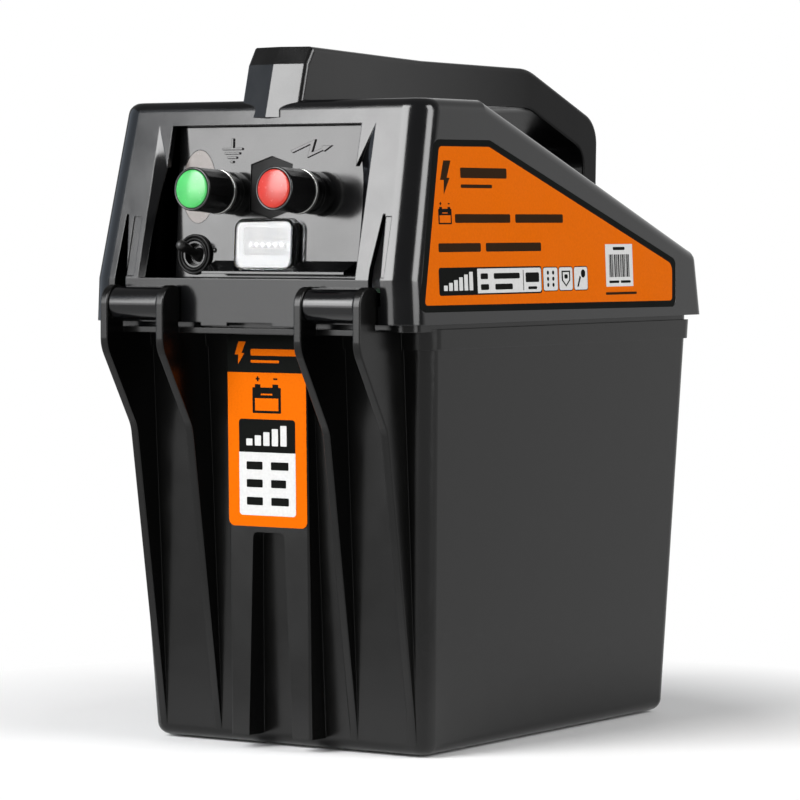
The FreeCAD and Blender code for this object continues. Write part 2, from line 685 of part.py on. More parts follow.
def battery():
    floor = FOOT_HEIGHT + WALL
    middle = (TUB_BASE_FRONT + TUB_BASE_REAR) / 2
    x1, y0 = BATTERY_WIDTH / 2, middle - BATTERY_LENGTH / 2
    case = box(-x1, x1, y0, y0 + BATTERY_LENGTH, floor, floor + BATTERY_HEIGHT)
    case = rounded(case, 8.0, lambda c, e: runs_along(e, "z"))
    case = rounded(case, 2.5, lambda c, e: c.z > floor + BATTERY_HEIGHT - 0.1)
    export("battery_case", case)
    top = floor + BATTERY_HEIGHT
    posts = []
    for x, radius in ((-32.0, 5.0), (32.0, 4.2)):
        collar = rod(V(x, y0 + 24, top), V(0, 0, 1), radius + 4, 2.5)
        posts.append(collar.fuse(rod(V(x, y0 + 24, top + 2.5), V(0, 0, 1), radius, 9.0)))
    export("battery_posts", *posts)
    strap = box(-11, 11, y0 + 60, y0 + 130, top, top + 3.0)
    strap = rounded(strap, 5.0, lambda c, e: runs_along(e, "z"))
    export("battery_lifting_strap", strap)


# ---------------------------------------------------------------- terminal panel
HEX_HALF = 11.2               # the six-sided blanking plug between the terminals
HEX_UP = 41.1
HEX_CORNER = 10.2             # its side corners, above and below its middle
HEX_APEX = 13.9
LENS_X = -39.9
LENS_UP = 41.6
LENS_WIDE = 18.6
LENS_TALL = 32.9
SWITCH_X = -40.6
SWITCH_UP = 10.9
SWITCH_PIVOT = V(SWITCH_X, SWITCH_UP, -2.0)
SWITCH_REACH = 14.5
SWITCH_TILT = 15.0
SWITCH_HOLE = 6.1
WINDOW_X = 0.65
WINDOW_UP = 15.1
WINDOW_WIDE = 32.7
WINDOW_TALL = 23.6
WINDOW_DEEP = 6.0             # how far the clear cover stands proud of the panel
WINDOW_WALL = 1.6
LAMP_COUNT = 6
LAMP_PITCH = 3.45
SIGN_PROUD = 0.8              # the moulded signs over the terminals


def hex_plate(margin, z0, z1):
    """A six-sided prism on the panel, with a point upwards, grown by margin."""
    half, corner, apex = HEX_HALF + margin, HEX_CORNER + margin, HEX_APEX + margin
    outline = [(half, corner), (0, apex), (-half, corner), (-half, -corner), (0, -apex), (half, -corner)]
    return prism([V(x, HEX_UP + up, z0) for x, up in outline], V(0, 0, z1 - z0))


def hexagon(across, z0, z1, x, up):
    """A regular hexagonal prism on the panel, with a point upwards."""
    reach = across / math.sqrt(3)
    points = [V(x + reach * math.sin(k * math.pi / 3), up + reach * math.cos(k * math.pi / 3), z0)
              for k in range(6)]
    return prism(points, V(0, 0, z1 - z0))


def oval(width, height, x, up, z0, z1):
    """An upright oval disc on the panel."""
    major = V(0, height / 2, 0)
    ellipse = Part.Ellipse(V(x, up, z0) + major, V(x + width / 2, up, z0), V(x, up, z0))
    face = Part.Face(Part.Wire(ellipse.toShape()))
    return face.extrude(V(0, 0, z1 - z0))


def rounded_block(width, height, x, up, z0, z1, radius):
    block = box(x - width / 2, x + width / 2, up - height / 2, up + height / 2, z0, z1)
    return rounded(block, radius, lambda c, e: runs_along(e, "z"))


def raised_bar(x0, x1, up0, up1):
    return box(x0, x1, up0, up1, -0.5, SIGN_PROUD)


def earth_sign():
    """The raised earth sign over the earth terminal: a stem and four shrinking bars."""
    x, top = -21.6, 63.2
    bars = [raised_bar(x - 0.5, x + 0.5, top - 5.0, top)]
    for row, half in enumerate((5.5, 4.1, 2.5, 0.8)):
        level = top - 4.7 - 1.95 * row
        bars.append(raised_bar(x - half, x + half, level - 0.45, level + 0.45))
    return bars


def pulse_sign():
    """The raised zigzag arrow over the fence terminal."""
    outline = [(10.6, 57.5), (23.7, 62.4), (21.9, 56.6), (27.6, 58.5), (27.3, 59.4), (32.6, 59.6),
               (28.4, 56.9), (28.0, 57.5), (19.6, 54.2), (21.2, 60.3), (11.4, 56.4)]
    return [prism([V(x, up, -0.5) for x, up in outline], V(0, 0, 0.5 + SIGN_PROUD))]


def terminal_panel():
    half = PANEL_HALF - 0.2
    plate = box(-half, half, 0.7, PANEL_HEIGHT - 0.2, -PANEL_THICK, 0)
    ledge = prism([V(-29.7, 8.2, 0), V(-29.7, 5.6, 0), V(-29.7, 1.8, 10.0), V(-29.7, 3.0, 10.0)],
                  V(77.2, 0, 0))
    plate = plate.fuse([ledge] + earth_sign() + pulse_sign())
    cuts = [rounded_block(WINDOW_WIDE + 0.6, WINDOW_TALL + 0.6, WINDOW_X, WINDOW_UP, -10, 20, 5.3)]
    for x in (-STUD_X, STUD_X):
        cuts.append(rod(V(x, STUD_UP, -10), V(0, 0, 1), STUD_RADIUS + 0.1, 20))
    cuts.append(rod(V(SWITCH_X, SWITCH_UP, -10), V(0, 0, 1), SWITCH_HOLE, 20))
    cuts.append(hex_plate(0.15, -1.7, 5))
    cuts.append(rod(V(0, HEX_UP, -10), V(0, 0, 1), 4.1, 20))
    cuts.append(oval(LENS_WIDE + 0.3, LENS_TALL + 0.3, LENS_X, LENS_UP, -1.2, 5))
    plate = plate.cut(cuts)
    pip = Part.makeSphere(1.2, V(-29.9, 12.9, -0.4))
    plate = plate.fuse(pip)
    export("terminal_panel", on_panel(plate.removeSplitter()))


def panel_trim():
    plug = hex_plate(0.0, -1.6, -0.6).fuse(rod(V(0, HEX_UP, -9), V(0, 0, 1), 4.0, 8))
    export("hex_plug", on_panel(plug))
    export("indicator_lens", on_panel(oval(LENS_WIDE, LENS_TALL, LENS_X, LENS_UP, -1.1, 0.0)))


def display():
    """The fence-voltage display: a clear cover, a white frame, and a row of lamps on a board."""
    outer = rounded_block(WINDOW_WIDE, WINDOW_TALL, WINDOW_X, WINDOW_UP, -PANEL_THICK, WINDOW_DEEP, 5.0)
    outer = rounded(outer, 1.6, lambda c, e: c.z > WINDOW_DEEP - 0.01)
    inside = 2 * WINDOW_WALL
    room = rounded_block(WINDOW_WIDE - inside, WINDOW_TALL - inside, WINDOW_X, WINDOW_UP,
                         -PANEL_THICK - 1, WINDOW_DEEP - WINDOW_WALL, 3.4)
    export("display_window", on_panel(outer.cut(room)))
    width, height = WINDOW_WIDE - inside - 0.4, WINDOW_TALL - inside - 0.4
    frame = rounded_block(width, height, WINDOW_X, WINDOW_UP, 1.8, 3.4, 3.2)
    frame = frame.cut(rounded_block(23.6, 12.4, WINDOW_X - 0.2, WINDOW_UP + 1.6, 0, 10, 1.0))
    export("display_frame", on_panel(frame))
    board = rounded_block(width, height, WINDOW_X, WINDOW_UP, -2.2, -0.6, 3.2)
    export("display_board", on_panel(board))
    lamps = []
    for k in range(LAMP_COUNT):
        lamp = Part.makeBox(2.0, 2.0, 3.6, V(-1.0, -1.0, -0.6))
        lamp.rotate(V(0, 0, 0), V(0, 0, 1), 45)
        lamp.translate(V(WINDOW_X + (k - (LAMP_COUNT - 1) / 2) * LAMP_PITCH, WINDOW_UP + 0.3, 0))
        lamps.append(on_panel(lamp))
    export("display_lamps", *lamps)


def toggle_switch():
    """The on-off switch: body behind the panel, low ringed nut in front, and the lever."""
    at = V(SWITCH_X, SWITCH_UP, 0)
    out = V(0, 0, 1)
    body = box(SWITCH_X - 7, SWITCH_X + 7, SWITCH_UP - 9.5, SWITCH_UP + 9.5, -21, -PANEL_THICK - 0.1)
    bush = rod(at + V(0, 0, -PANEL_THICK - 0.5), out, SWITCH_HOLE - 0.1, PANEL_THICK + 1.6)
    room = Part.makeCone(4.4, 5.4, 5.2, at + V(0, 0, -2.6), out)
    body = body.fuse(bush).cut([room, Part.makeSphere(3.3, SWITCH_PIVOT)])
    ring = rod(at + V(0, 0, 0.1), out, 9.3, 1.6)
    ring = rounded(ring, 0.6, lambda c, e: c.z > 1.6)
    ring = ring.cut([rod(at, out, SWITCH_HOLE - 0.05, 5), tube(at + V(0, 0, 1.3), out, 8.1, 7.3, 2)])
    export("switch_body", on_panel(body))
    export("switch_ring", on_panel(ring))
    ball = Part.makeSphere(3.0, SWITCH_PIVOT)
    stem = Part.makeCone(1.7, 2.5, SWITCH_REACH - 1.0, SWITCH_PIVOT, out)
    tip = Part.makeSphere(2.5, SWITCH_PIVOT + V(0, 0, SWITCH_REACH - 1.0))
    lever = ball.fuse([stem, tip])
    lever.rotate(SWITCH_PIVOT, V(1, 0, 0), -SWITCH_TILT)
    export("switch_lever", on_panel(lever))


def terminals():
    """Two screw terminals: stud, collar, rear nut, clamp washer, knob and coloured cap."""
    out = V(0, 0, 1)
    for name, x in (("earth", -STUD_X), ("fence", STUD_X)):
        at = V(x, STUD_UP, 0)
        foot = at + V(0, 0, STUD_BACK)
        stud = rod(foot, out, STUD_RADIUS, STUD_FRONT - STUD_BACK)
        stud = stud.fuse(rod(foot, out, STUD_RADIUS + 1, 1.5))
        export(f"{name}_stud", on_panel(stud))
        collar = tube(at + V(0, 0, 0.02), out, 9.6, STUD_RADIUS, 3.0)
        collar = collar.fuse(tube(at + V(0, 0, 3.0), out, 8.0, STUD_RADIUS, COLLAR_TOP - 3.0))
        export(f"{name}_collar", on_panel(collar))
        nut = hexagon(13.0, -PANEL_THICK - 5.5, -PANEL_THICK - 0.05, x, STUD_UP)
        nut = nut.cut(rod(foot, out, STUD_RADIUS, 20))
        export(f"{name}_nut", on_panel(nut))
        washer = tube(at + V(0, 0, WASHER_START), out, KNOB_RADIUS + 0.3, STUD_RADIUS + 0.08, WASHER_THICK)
        export(f"{name}_clamp_washer", on_panel(washer))
        export(f"{name}_knob", on_panel(knob_body(at)))
        cap = rod(at + V(0, 0, KNOB_END - CAP_SEAT), out, CAP_RADIUS, 2.0)
        cap = rounded(cap, 0.5, lambda c, e: c.z > KNOB_END + 0.5)
        export(f"{name}_knob_cap", on_panel(cap))


def knob_body(at):
    """A faceted knob with a blind bore for the stud and a seat for its cap."""
    sides = 16
    points = []
    for k in range(sides):
        angle = 2 * math.pi * (k + 0.5) / sides
        points.append(at + V(KNOB_RADIUS * math.cos(angle), KNOB_RADIUS * math.sin(angle), KNOB_START))
    knob = prism(points, V(0, 0, KNOB_END - KNOB_START))
    knob = knob.common(Part.makeCone(KNOB_RADIUS + 0.2, KNOB_RADIUS - 0.3, KNOB_END - KNOB_START,
                                     at + V(0, 0, KNOB_START), V(0, 0, 1)))
    bore = rod(at, V(0, 0, 1), STUD_RADIUS + PIN_CLEARANCE, STUD_FRONT + 1)
    return knob.cut([bore, rod(at + V(0, 0, KNOB_END - CAP_SEAT), V(0, 0, 1), CAP_RADIUS, 5)])


# ---------------------------------------------------------------- electronics
def electronics():
    board = box(-62, 62, -86, 96, BOARD_BOTTOM, BOARD_TOP)
    for x, y in BOARD_POSTS:
        board = board.cut(rod(V(x, y, BOARD_BOTTOM - 1), V(0, 0, 1), 1.6, 5))
    export("circuit_board", board)
    export("board_screws", *screws(BOARD_POSTS, BOARD_TOP, 5.0, BOARD_SCREW_SHANK, 2.8, points_up=False))
    core = box(-27, 27, -60, -18, BOARD_TOP, BOARD_TOP + 46)
    windows = [box(x0, x0 + 11, -61, -17, BOARD_TOP + 9, BOARD_TOP + 37) for x0 in (-18, 7)]
    core = core.cut(windows)
    export("transformer_core", core)
    winding = box(-17.6, 17.6, -69, -9, BOARD_TOP + 9.4, BOARD_TOP + 36.6)
    winding = rounded(winding, 8.0, lambda c, e: runs_along(e, "z"))
    winding = winding.cut(box(-7.2, 7.2, -60.2, -17.8, BOARD_TOP, BOARD_TOP + 40))
    export("transformer_winding", winding)
    radius = 17.0
    can = rod(V(-24, 18, BOARD_TOP + radius), V(1, 0, 0), radius, 48)
    can = rounded(can, 1.5, lambda c, e: abs(abs(c.x) - 24) < 0.1)
    export("storage_capacitor", can)
    clip = tube(V(-6, 18, BOARD_TOP + radius), V(1, 0, 0), radius + 1.2, radius, 12)
    clip = clip.common(box(-6, 6, -10, 46, BOARD_TOP + radius, BOARD_TOP + 60))
    for side in (-1, 1):
        y = 18 + side * (radius + 0.6)
        clip = clip.fuse(box(-6, 6, y - 0.6, y + 0.6, BOARD_TOP, BOARD_TOP + radius))
    export("capacitor_clip", clip)
    sink = box(38, 56, -20, 20, BOARD_TOP, BOARD_TOP + 2)
    for k in range(5):
        sink = sink.fuse(box(38 + 4 * k, 40 + 4 * k, -20, 20, BOARD_TOP, BOARD_TOP + 16))
    export("switching_heatsink", sink)
    chips = [box(x - w / 2, x + w / 2, y - d / 2, y + d / 2, BOARD_TOP, BOARD_TOP + h)
             for x, y, w, d, h in ((-44, 0, 16, 22, 4), (-40, 52, 12, 12, 8), (36, 56, 20, 12, 9))]
    export("board_components", *chips)


def floor_and_handle_screws():
    export("floor_screws", *screws(FLOOR_SCREWS, FLOOR_BOTTOM, 11.0, FLOOR_SCREW_SHANK, 3.2))
    roof_inside = LID_TOP - WALL
    export("handle_screws", *screws(HANDLE_SCREWS, roof_inside, 14.0, HANDLE_SCREW_SHANK, 3.0))


# ---------------------------------------------------------------- build
os.makedirs("parts", exist_ok=True)
lid_housing()
side_labels()
lid_floor()
carry_handle()
latch_lever()
tub_shell()
tub_label()
hinge_pins()
battery()
terminal_panel()
panel_trim()
display()
toggle_switch()
terminals()
electronics()
floor_and_handle_screws()
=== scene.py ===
import json
import math

import bmesh
import bpy
from mathutils import Matrix, Vector

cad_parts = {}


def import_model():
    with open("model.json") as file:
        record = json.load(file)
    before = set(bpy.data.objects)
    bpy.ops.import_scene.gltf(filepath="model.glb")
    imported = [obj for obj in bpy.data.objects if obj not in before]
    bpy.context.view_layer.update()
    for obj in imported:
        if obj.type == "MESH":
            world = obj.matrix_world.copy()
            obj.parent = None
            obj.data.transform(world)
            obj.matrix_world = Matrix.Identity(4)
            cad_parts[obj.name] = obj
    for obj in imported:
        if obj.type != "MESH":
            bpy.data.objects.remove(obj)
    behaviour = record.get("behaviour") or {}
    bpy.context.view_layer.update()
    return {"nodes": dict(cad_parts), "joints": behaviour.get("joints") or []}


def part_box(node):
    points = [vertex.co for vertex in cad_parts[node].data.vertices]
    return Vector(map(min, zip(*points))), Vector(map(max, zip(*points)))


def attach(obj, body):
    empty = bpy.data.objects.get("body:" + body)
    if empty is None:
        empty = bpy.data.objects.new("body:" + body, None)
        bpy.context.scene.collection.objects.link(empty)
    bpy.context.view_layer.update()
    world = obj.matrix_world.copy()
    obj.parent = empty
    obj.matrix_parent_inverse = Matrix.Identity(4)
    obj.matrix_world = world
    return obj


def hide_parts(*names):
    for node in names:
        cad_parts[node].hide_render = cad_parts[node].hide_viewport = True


# The looks of a battery fence energizer: a tub, a hinged lid with its terminal panel, printed
# labels and a carrying handle. Lengths in this file are millimetres, and MM turns them to metres.
MM = 0.001

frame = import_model()
nodes = frame["nodes"]
joints = {joint["name"]: joint for joint in frame["joints"]}


# ---------------------------------------------------------------- shader helpers
def add_node(tree, kind, inputs=None, **settings):
    """A new shader node, with its settings and the values of its unlinked inputs."""
    node = tree.nodes.new(kind)
    for key, value in settings.items():
        setattr(node, key, value)
    for key, value in (inputs or {}).items():
        node.inputs[key].default_value = value
    return node


def new_material(name):
    material = bpy.data.materials.new(name)
    material.use_nodes = True
    return material, material.node_tree, material.node_tree.nodes["Principled BSDF"]


def noise(tree, scale, detail=3.0, stretch=(1.0, 1.0, 1.0)):
    """A noise value in object space. Scale is features per metre."""
    place = add_node(tree, "ShaderNodeTexCoord")
    sizer = add_node(tree, "ShaderNodeMapping", {"Scale": stretch})
    grain = add_node(tree, "ShaderNodeTexNoise", {"Scale": scale, "Detail": detail})
    tree.links.new(place.outputs["Object"], sizer.inputs["Vector"])
    tree.links.new(sizer.outputs["Vector"], grain.inputs["Vector"])
    return grain.outputs["Fac"]


def ranged(tree, value, low, high, from_low=0.3, from_high=0.7):
    """The value, mapped from its usual spread to low..high."""
    mapper = add_node(tree, "ShaderNodeMapRange", {
        "From Min": from_low, "From Max": from_high, "To Min": low, "To Max": high})
    tree.links.new(value, mapper.inputs["Value"])
    return mapper.outputs["Result"]


def two_colours(tree, share, first, second):
    mix = add_node(tree, "ShaderNodeMix", data_type="RGBA")
    mix.inputs[6].default_value = (*first, 1.0)
    mix.inputs[7].default_value = (*second, 1.0)
    tree.links.new(share, mix.inputs["Factor"])
    return mix.outputs[2]


def softened_edges(tree, radius):
    """Surface normals that round off sharp edges."""
    return add_node(tree, "ShaderNodeBevel", {"Radius": radius * MM}, samples=4).outputs["Normal"]


def bumped(tree, shader, heights, edge_radius=0.0):
    """Chains bumps on to the shader. Heights are (value, height in mm)."""
    normal = softened_edges(tree, edge_radius) if edge_radius else None
    for value, height in heights:
        bump = add_node(tree, "ShaderNodeBump", {"Strength": 1.0, "Distance": height * MM})
        tree.links.new(value, bump.inputs["Height"])
        if normal:
            tree.links.new(normal, bump.inputs["Normal"])
        normal = bump.outputs["Normal"]
    tree.links.new(normal, shader.inputs["Normal"])


def edge_mask(tree, radius):
    """Near 1 on sharp edges and 0 on open faces."""
    flat = add_node(tree, "ShaderNodeNewGeometry").outputs["Normal"]
    around = softened_edges(tree, radius)
    product = add_node(tree, "ShaderNodeVectorMath", operation="DOT_PRODUCT")
    tree.links.new(flat, product.inputs[0])
    tree.links.new(around, product.inputs[1])
    return ranged(tree, product.outputs["Value"], 1.0, 0.0, 0.8, 0.995)


# ---------------------------------------------------------------- materials
def moulded(name, colour, roughness, grain=0.012, peel=0.05, edge=0.45, wear=1.6, mottle=0.16,
            shine=0.5):
    """Moulded plastic: faint flow marks, a fine grain, orange peel, and edges that are rubbed."""
    material, tree, shader = new_material(name)
    shader.inputs["Specular IOR Level"].default_value = shine
    flow = noise(tree, 24.0, 4.0, (1.0, 1.0, 0.35))
    dark = [c * (1.0 - mottle) for c in colour]
    light = [c * (1.0 + mottle) for c in colour]
    body = two_colours(tree, ranged(tree, flow, 0.0, 1.0), dark, light)
    worn = add_node(tree, "ShaderNodeMix", data_type="RGBA")
    worn.inputs[7].default_value = (*[min(1.0, c * wear + 0.004) for c in colour], 1.0)
    tree.links.new(edge_mask(tree, edge), worn.inputs["Factor"])
    tree.links.new(body, worn.inputs[6])
    tree.links.new(worn.outputs[2], shader.inputs["Base Color"])
    smudge = noise(tree, 60.0, 5.0)
    rough = ranged(tree, smudge, roughness * 0.85, roughness * 1.2)
    tree.links.new(rough, shader.inputs["Roughness"])
    bumped(tree, shader, [(noise(tree, 90.0, 2.0), peel), (noise(tree, 2600.0, 2.0), grain)], edge)
    return material


def dulled_to_rear(material, low, high, shine, rear_shine):
    """Lowers the shine from one place along Y to another, in metres."""
    tree = material.node_tree
    place = add_node(tree, "ShaderNodeTexCoord")
    parts = add_node(tree, "ShaderNodeSeparateXYZ")
    tree.links.new(place.outputs["Object"], parts.inputs["Vector"])
    level = ranged(tree, parts.outputs["Y"], shine, rear_shine, low, high)
    tree.links.new(level, tree.nodes["Principled BSDF"].inputs["Specular IOR Level"])


def printed(name, colour, roughness=0.5):
    """Ink on a plastic film: even colour with a faint tooth."""
    material, tree, shader = new_material(name)
    speck = noise(tree, 900.0, 2.0)
    shader.inputs["Specular IOR Level"].default_value = 0.02
    pale = [min(1.0, c * 1.04) for c in colour]
    deep = [c * 0.95 for c in colour]
    ink = two_colours(tree, ranged(tree, speck, 0.0, 1.0), deep, pale)
    tree.links.new(ink, shader.inputs["Base Color"])
    smear = noise(tree, 45.0, 3.0)
    tree.links.new(ranged(tree, smear, roughness * 0.85, roughness * 1.15), shader.inputs["Roughness"])
    bumped(tree, shader, [(noise(tree, 300.0, 2.0), 0.008)])
    return material


def lit_plastic(name, colour, scatter=0.35):
    """Translucent coloured plastic that scatters light under its surface."""
    material, tree, shader = new_material(name)
    cloud = noise(tree, 150.0, 2.0)
    deep = [c * 0.86 for c in colour]
    dye = two_colours(tree, ranged(tree, cloud, 0.0, 1.0), deep, colour)
    tree.links.new(dye, shader.inputs["Base Color"])
    shader.inputs["Subsurface Weight"].default_value = scatter
    shader.inputs["Subsurface Radius"].default_value = (0.9, 0.9, 0.9)
    shader.inputs["Subsurface Scale"].default_value = 1.2 * MM
    tree.links.new(ranged(tree, noise(tree, 500.0, 2.0), 0.2, 0.28), shader.inputs["Roughness"])
    bumped(tree, shader, [(noise(tree, 1200.0, 2.0), 0.004)])
    return material


def metal(name, colour, roughness, brushed=(1.0, 1.0, 1.0), grain=0.01):
    """Plated or bare metal with fine tool marks."""
    material, tree, shader = new_material(name)
    shader.inputs["Metallic"].default_value = 1.0
    marks = noise(tree, 700.0, 3.0, brushed)
    dull = [c * 0.8 for c in colour]
    surface = two_colours(tree, ranged(tree, marks, 0.0, 1.0), dull, colour)
    tree.links.new(surface, shader.inputs["Base Color"])
    cloud = noise(tree, 120.0, 4.0)
    tree.links.new(ranged(tree, cloud, roughness * 0.8, roughness * 1.3), shader.inputs["Roughness"])
    bumped(tree, shader, [(marks, grain)], 0.2)
    return material


def clear_plastic():
    """Clear moulded plastic with a faint ripple."""
    material, tree, shader = new_material("clear_cover")
    shader.inputs["Transmission Weight"].default_value = 1.0
    shader.inputs["IOR"].default_value = 1.49
    tint = noise(tree, 120.0, 2.0)
    body = two_colours(tree, ranged(tree, tint, 0.0, 1.0), (0.93, 0.95, 0.97), (1.0, 1.0, 1.0))
    tree.links.new(body, shader.inputs["Base Color"])
    tree.links.new(ranged(tree, noise(tree, 300.0, 2.0), 0.03, 0.07), shader.inputs["Roughness"])
    bumped(tree, shader, [(noise(tree, 200.0, 2.0), 0.01)], 0.3)
    return material


def laminate():
    """Circuit board laminate with its copper tracks under green resist."""
    material, tree, shader = new_material("board_laminate")
    place = add_node(tree, "ShaderNodeTexCoord")
    tracks = add_node(tree, "ShaderNodeTexBrick", {
        "Color1": (0.02, 0.13, 0.05, 1), "Color2": (0.03, 0.17, 0.07, 1),
        "Mortar": (0.06, 0.3, 0.12, 1), "Scale": 160.0, "Mortar Size": 0.03,
        "Brick Width": 1.7, "Row Height": 0.6})
    tree.links.new(place.outputs["Object"], tracks.inputs["Vector"])
    tree.links.new(tracks.outputs["Color"], shader.inputs["Base Color"])
    tree.links.new(ranged(tree, noise(tree, 80.0, 3.0), 0.25, 0.4), shader.inputs["Roughness"])
    bumped(tree, shader, [(tracks.outputs["Fac"], 0.03)])
    return material


def webbing():
    """Woven strap webbing."""
    material, tree, shader = new_material("strap_webbing")
    place = add_node(tree, "ShaderNodeTexCoord")
    weave = add_node(tree, "ShaderNodeTexWave", {"Scale": 420.0, "Distortion": 0.6},
                     bands_direction="DIAGONAL")
    tree.links.new(place.outputs["Object"], weave.inputs["Vector"])
    tree.links.new(two_colours(tree, weave.outputs["Fac"], (0.45, 0.44, 0.4), (0.68, 0.67, 0.62)),
                   shader.inputs["Base Color"])
    tree.links.new(ranged(tree, noise(tree, 200.0, 3.0), 0.6, 0.8), shader.inputs["Roughness"])
    bumped(tree, shader, [(weave.outputs["Fac"], 0.12)])
    return material


def banded_core():
    """The edges of stacked transformer laminations."""
    material, tree, shader = new_material("core_laminations")
    shader.inputs["Metallic"].default_value = 0.8
    place = add_node(tree, "ShaderNodeTexCoord")
    stack = add_node(tree, "ShaderNodeTexWave", {"Scale": 320.0, "Distortion": 0.2},
                     bands_direction="Y")
    tree.links.new(place.outputs["Object"], stack.inputs["Vector"])
    tree.links.new(two_colours(tree, stack.outputs["Fac"], (0.1, 0.1, 0.11), (0.3, 0.3, 0.31)),
                   shader.inputs["Base Color"])
    tree.links.new(ranged(tree, noise(tree, 150.0, 3.0), 0.35, 0.6), shader.inputs["Roughness"])
    bumped(tree, shader, [(stack.outputs["Fac"], 0.05)], 0.3)
    return material


LID = moulded("lid_moulding", (0.0022, 0.0023, 0.0026), 0.15, grain=0.002, peel=0.02, edge=0.6)
HANDLE = moulded("handle_moulding", (0.0022, 0.0022, 0.0023), 0.22, grain=0.004, peel=0.02, edge=0.4)
dulled_to_rear(HANDLE, -0.06, 0.08, 0.5, 0.1)
TUB = moulded("tub_moulding", (0.0018, 0.0018, 0.0017), 0.22, grain=0.006, peel=0.04, edge=0.5,
              shine=0.34)
PANEL = moulded("panel_moulding", (0.0022, 0.0022, 0.0023), 0.13, grain=0.001, peel=0.012, edge=0.35)
KNOB = moulded("knob_moulding", (0.002, 0.002, 0.0021), 0.22, grain=0.004, peel=0.01, edge=0.3)
MATT = moulded("plug_moulding", (0.002, 0.002, 0.002), 0.6, grain=0.01, peel=0.01, edge=0.3,
               shine=0.2)
RUBBER = moulded("switch_rubber", (0.0025, 0.0025, 0.0025), 0.42, grain=0.01, peel=0.02, edge=0.3,
                 shine=0.18)
LEVER = moulded("lever_moulding", (0.006, 0.006, 0.006), 0.4, grain=0.004, peel=0.01, edge=0.3)
BLACK_INK = printed("black_ink", (0.004, 0.0045, 0.004))
ORANGE_INK = printed("orange_ink", (0.54, 0.1, 0.0))
WHITE_INK = printed("white_ink", (0.5, 0.5, 0.495))
BROWN_INK = printed("dark_ink", (0.02, 0.009, 0.003))
GREEN = lit_plastic("green_cap", (0.05, 0.38, 0.09))
RED = lit_plastic("red_cap", (0.42, 0.02, 0.01))
LENS = lit_plastic("pale_lens", (0.15, 0.13, 0.12), 0.2)
WHITE = moulded("white_moulding", (0.03, 0.031, 0.034), 0.3, grain=0.004, peel=0.01, edge=0.3,
                wear=1.1, mottle=0.03)
LAMP = lit_plastic("lamp_body", (0.34, 0.34, 0.36), 0.2)
CLEAR = clear_plastic()
ZINC = metal("zinc_plate", (0.62, 0.62, 0.6), 0.3)
LEAD = metal("lead_post", (0.36, 0.36, 0.37), 0.5, grain=0.03)
ALUMINIUM = metal("extruded_aluminium", (0.6, 0.6, 0.62), 0.32, brushed=(1.0, 0.08, 1.0))
BATTERY = moulded("battery_case", (0.07, 0.085, 0.1), 0.4, edge=0.8)
TAPE = moulded("winding_tape", (0.62, 0.42, 0.06), 0.35, peel=0.1)
SLEEVE = moulded("capacitor_sleeve", (0.03, 0.07, 0.26), 0.28, edge=0.8)
CHIP = moulded("component_body", (0.02, 0.02, 0.021), 0.45)

NODE_MATERIALS = {
    TUB: ["tub_shell", "latch_lever", "lid_floor"],
    LID: ["lid_housing"],
    HANDLE: ["carry_handle"],
    PANEL: ["terminal_panel"],
    MATT: ["hex_plug", "display_board"],
    BLACK_INK: ["tub_label", "side_label_right", "side_label_left"],
    KNOB: ["earth_collar", "fence_collar", "switch_body", "switch_ring", "earth_knob", "fence_knob"],
    LEVER: ["switch_lever"],
    GREEN: ["earth_knob_cap"],
    RED: ["fence_knob_cap"],
    LENS: ["indicator_lens"],
    CLEAR: ["display_window"],
    WHITE: ["display_frame"],
    LAMP: ["display_lamps"],
    ZINC: ["hinge_pin_left", "hinge_pin_right", "latch_pin", "earth_stud", "fence_stud", "earth_nut",
           "fence_nut", "earth_clamp_washer", "fence_clamp_washer", "floor_screws", "handle_screws",
           "board_screws", "capacitor_clip"],
    LEAD: ["battery_posts"],
    ALUMINIUM: ["switching_heatsink"],
    BATTERY: ["battery_case"],
    webbing(): ["battery_lifting_strap"],
    laminate(): ["circuit_board"],
    banded_core(): ["transformer_core"],
    TAPE: ["transformer_winding"],
    SLEEVE: ["storage_capacitor"],
    CHIP: ["board_components"],
}


def paint_nodes():
    for material, names in NODE_MATERIALS.items():
        for name in names:
            slots = nodes[name].data.materials
            slots.clear()
            slots.append(material)


# ---------------------------------------------------------------- mesh helpers
def rounded_outline(points, radius, steps=6):
    """The closed polygon with each corner turned into an arc.
    Radius is one number, or a list with one for each corner."""
    radii = radius if isinstance(radius, list) else [radius] * len(points)
    made = []
    for k, corner in enumerate(points):
        if radii[k] <= 0:
            made.append(tuple(corner))
            continue
        here = Vector(corner)
        back = (Vector(points[k - 1]) - here).normalized()
        ahead = (Vector(points[(k + 1) % len(points)]) - here).normalized()
        half = back.angle(ahead) / 2
        centre = here + (back + ahead).normalized() * (radii[k] / math.sin(half))
        start = here + back * (radii[k] / math.tan(half))
        end = here + ahead * (radii[k] / math.tan(half))
        a0 = math.atan2(start.y - centre.y, start.x - centre.x)
        a1 = math.atan2(end.y - centre.y, end.x - centre.x)
        sweep = (a1 - a0 + math.pi) % (2 * math.pi) - math.pi
        for step in range(steps + 1):
            angle = a0 + sweep * step / steps
            made.append((centre.x + radii[k] * math.cos(angle),
                         centre.y + radii[k] * math.sin(angle)))
    return made


def rectangle(x0, x1, y0, y1):
    return [(x0, y0), (x1, y0), (x1, y1), (x0, y1)]


def bar(x0, x1, y0, y1, radius=0.0):
    """A rectangle with rounded corners."""
    limit = 0.49 * min(x1 - x0, y1 - y0)
    return rounded_outline(rectangle(x0, x1, y0, y1), min(radius, limit), 5)


def disc(x, y, radius, steps=28):
    angles = [2 * math.pi * k / steps for k in range(steps)]
    return [(x + radius * math.cos(angle), y + radius * math.sin(angle)) for angle in angles]


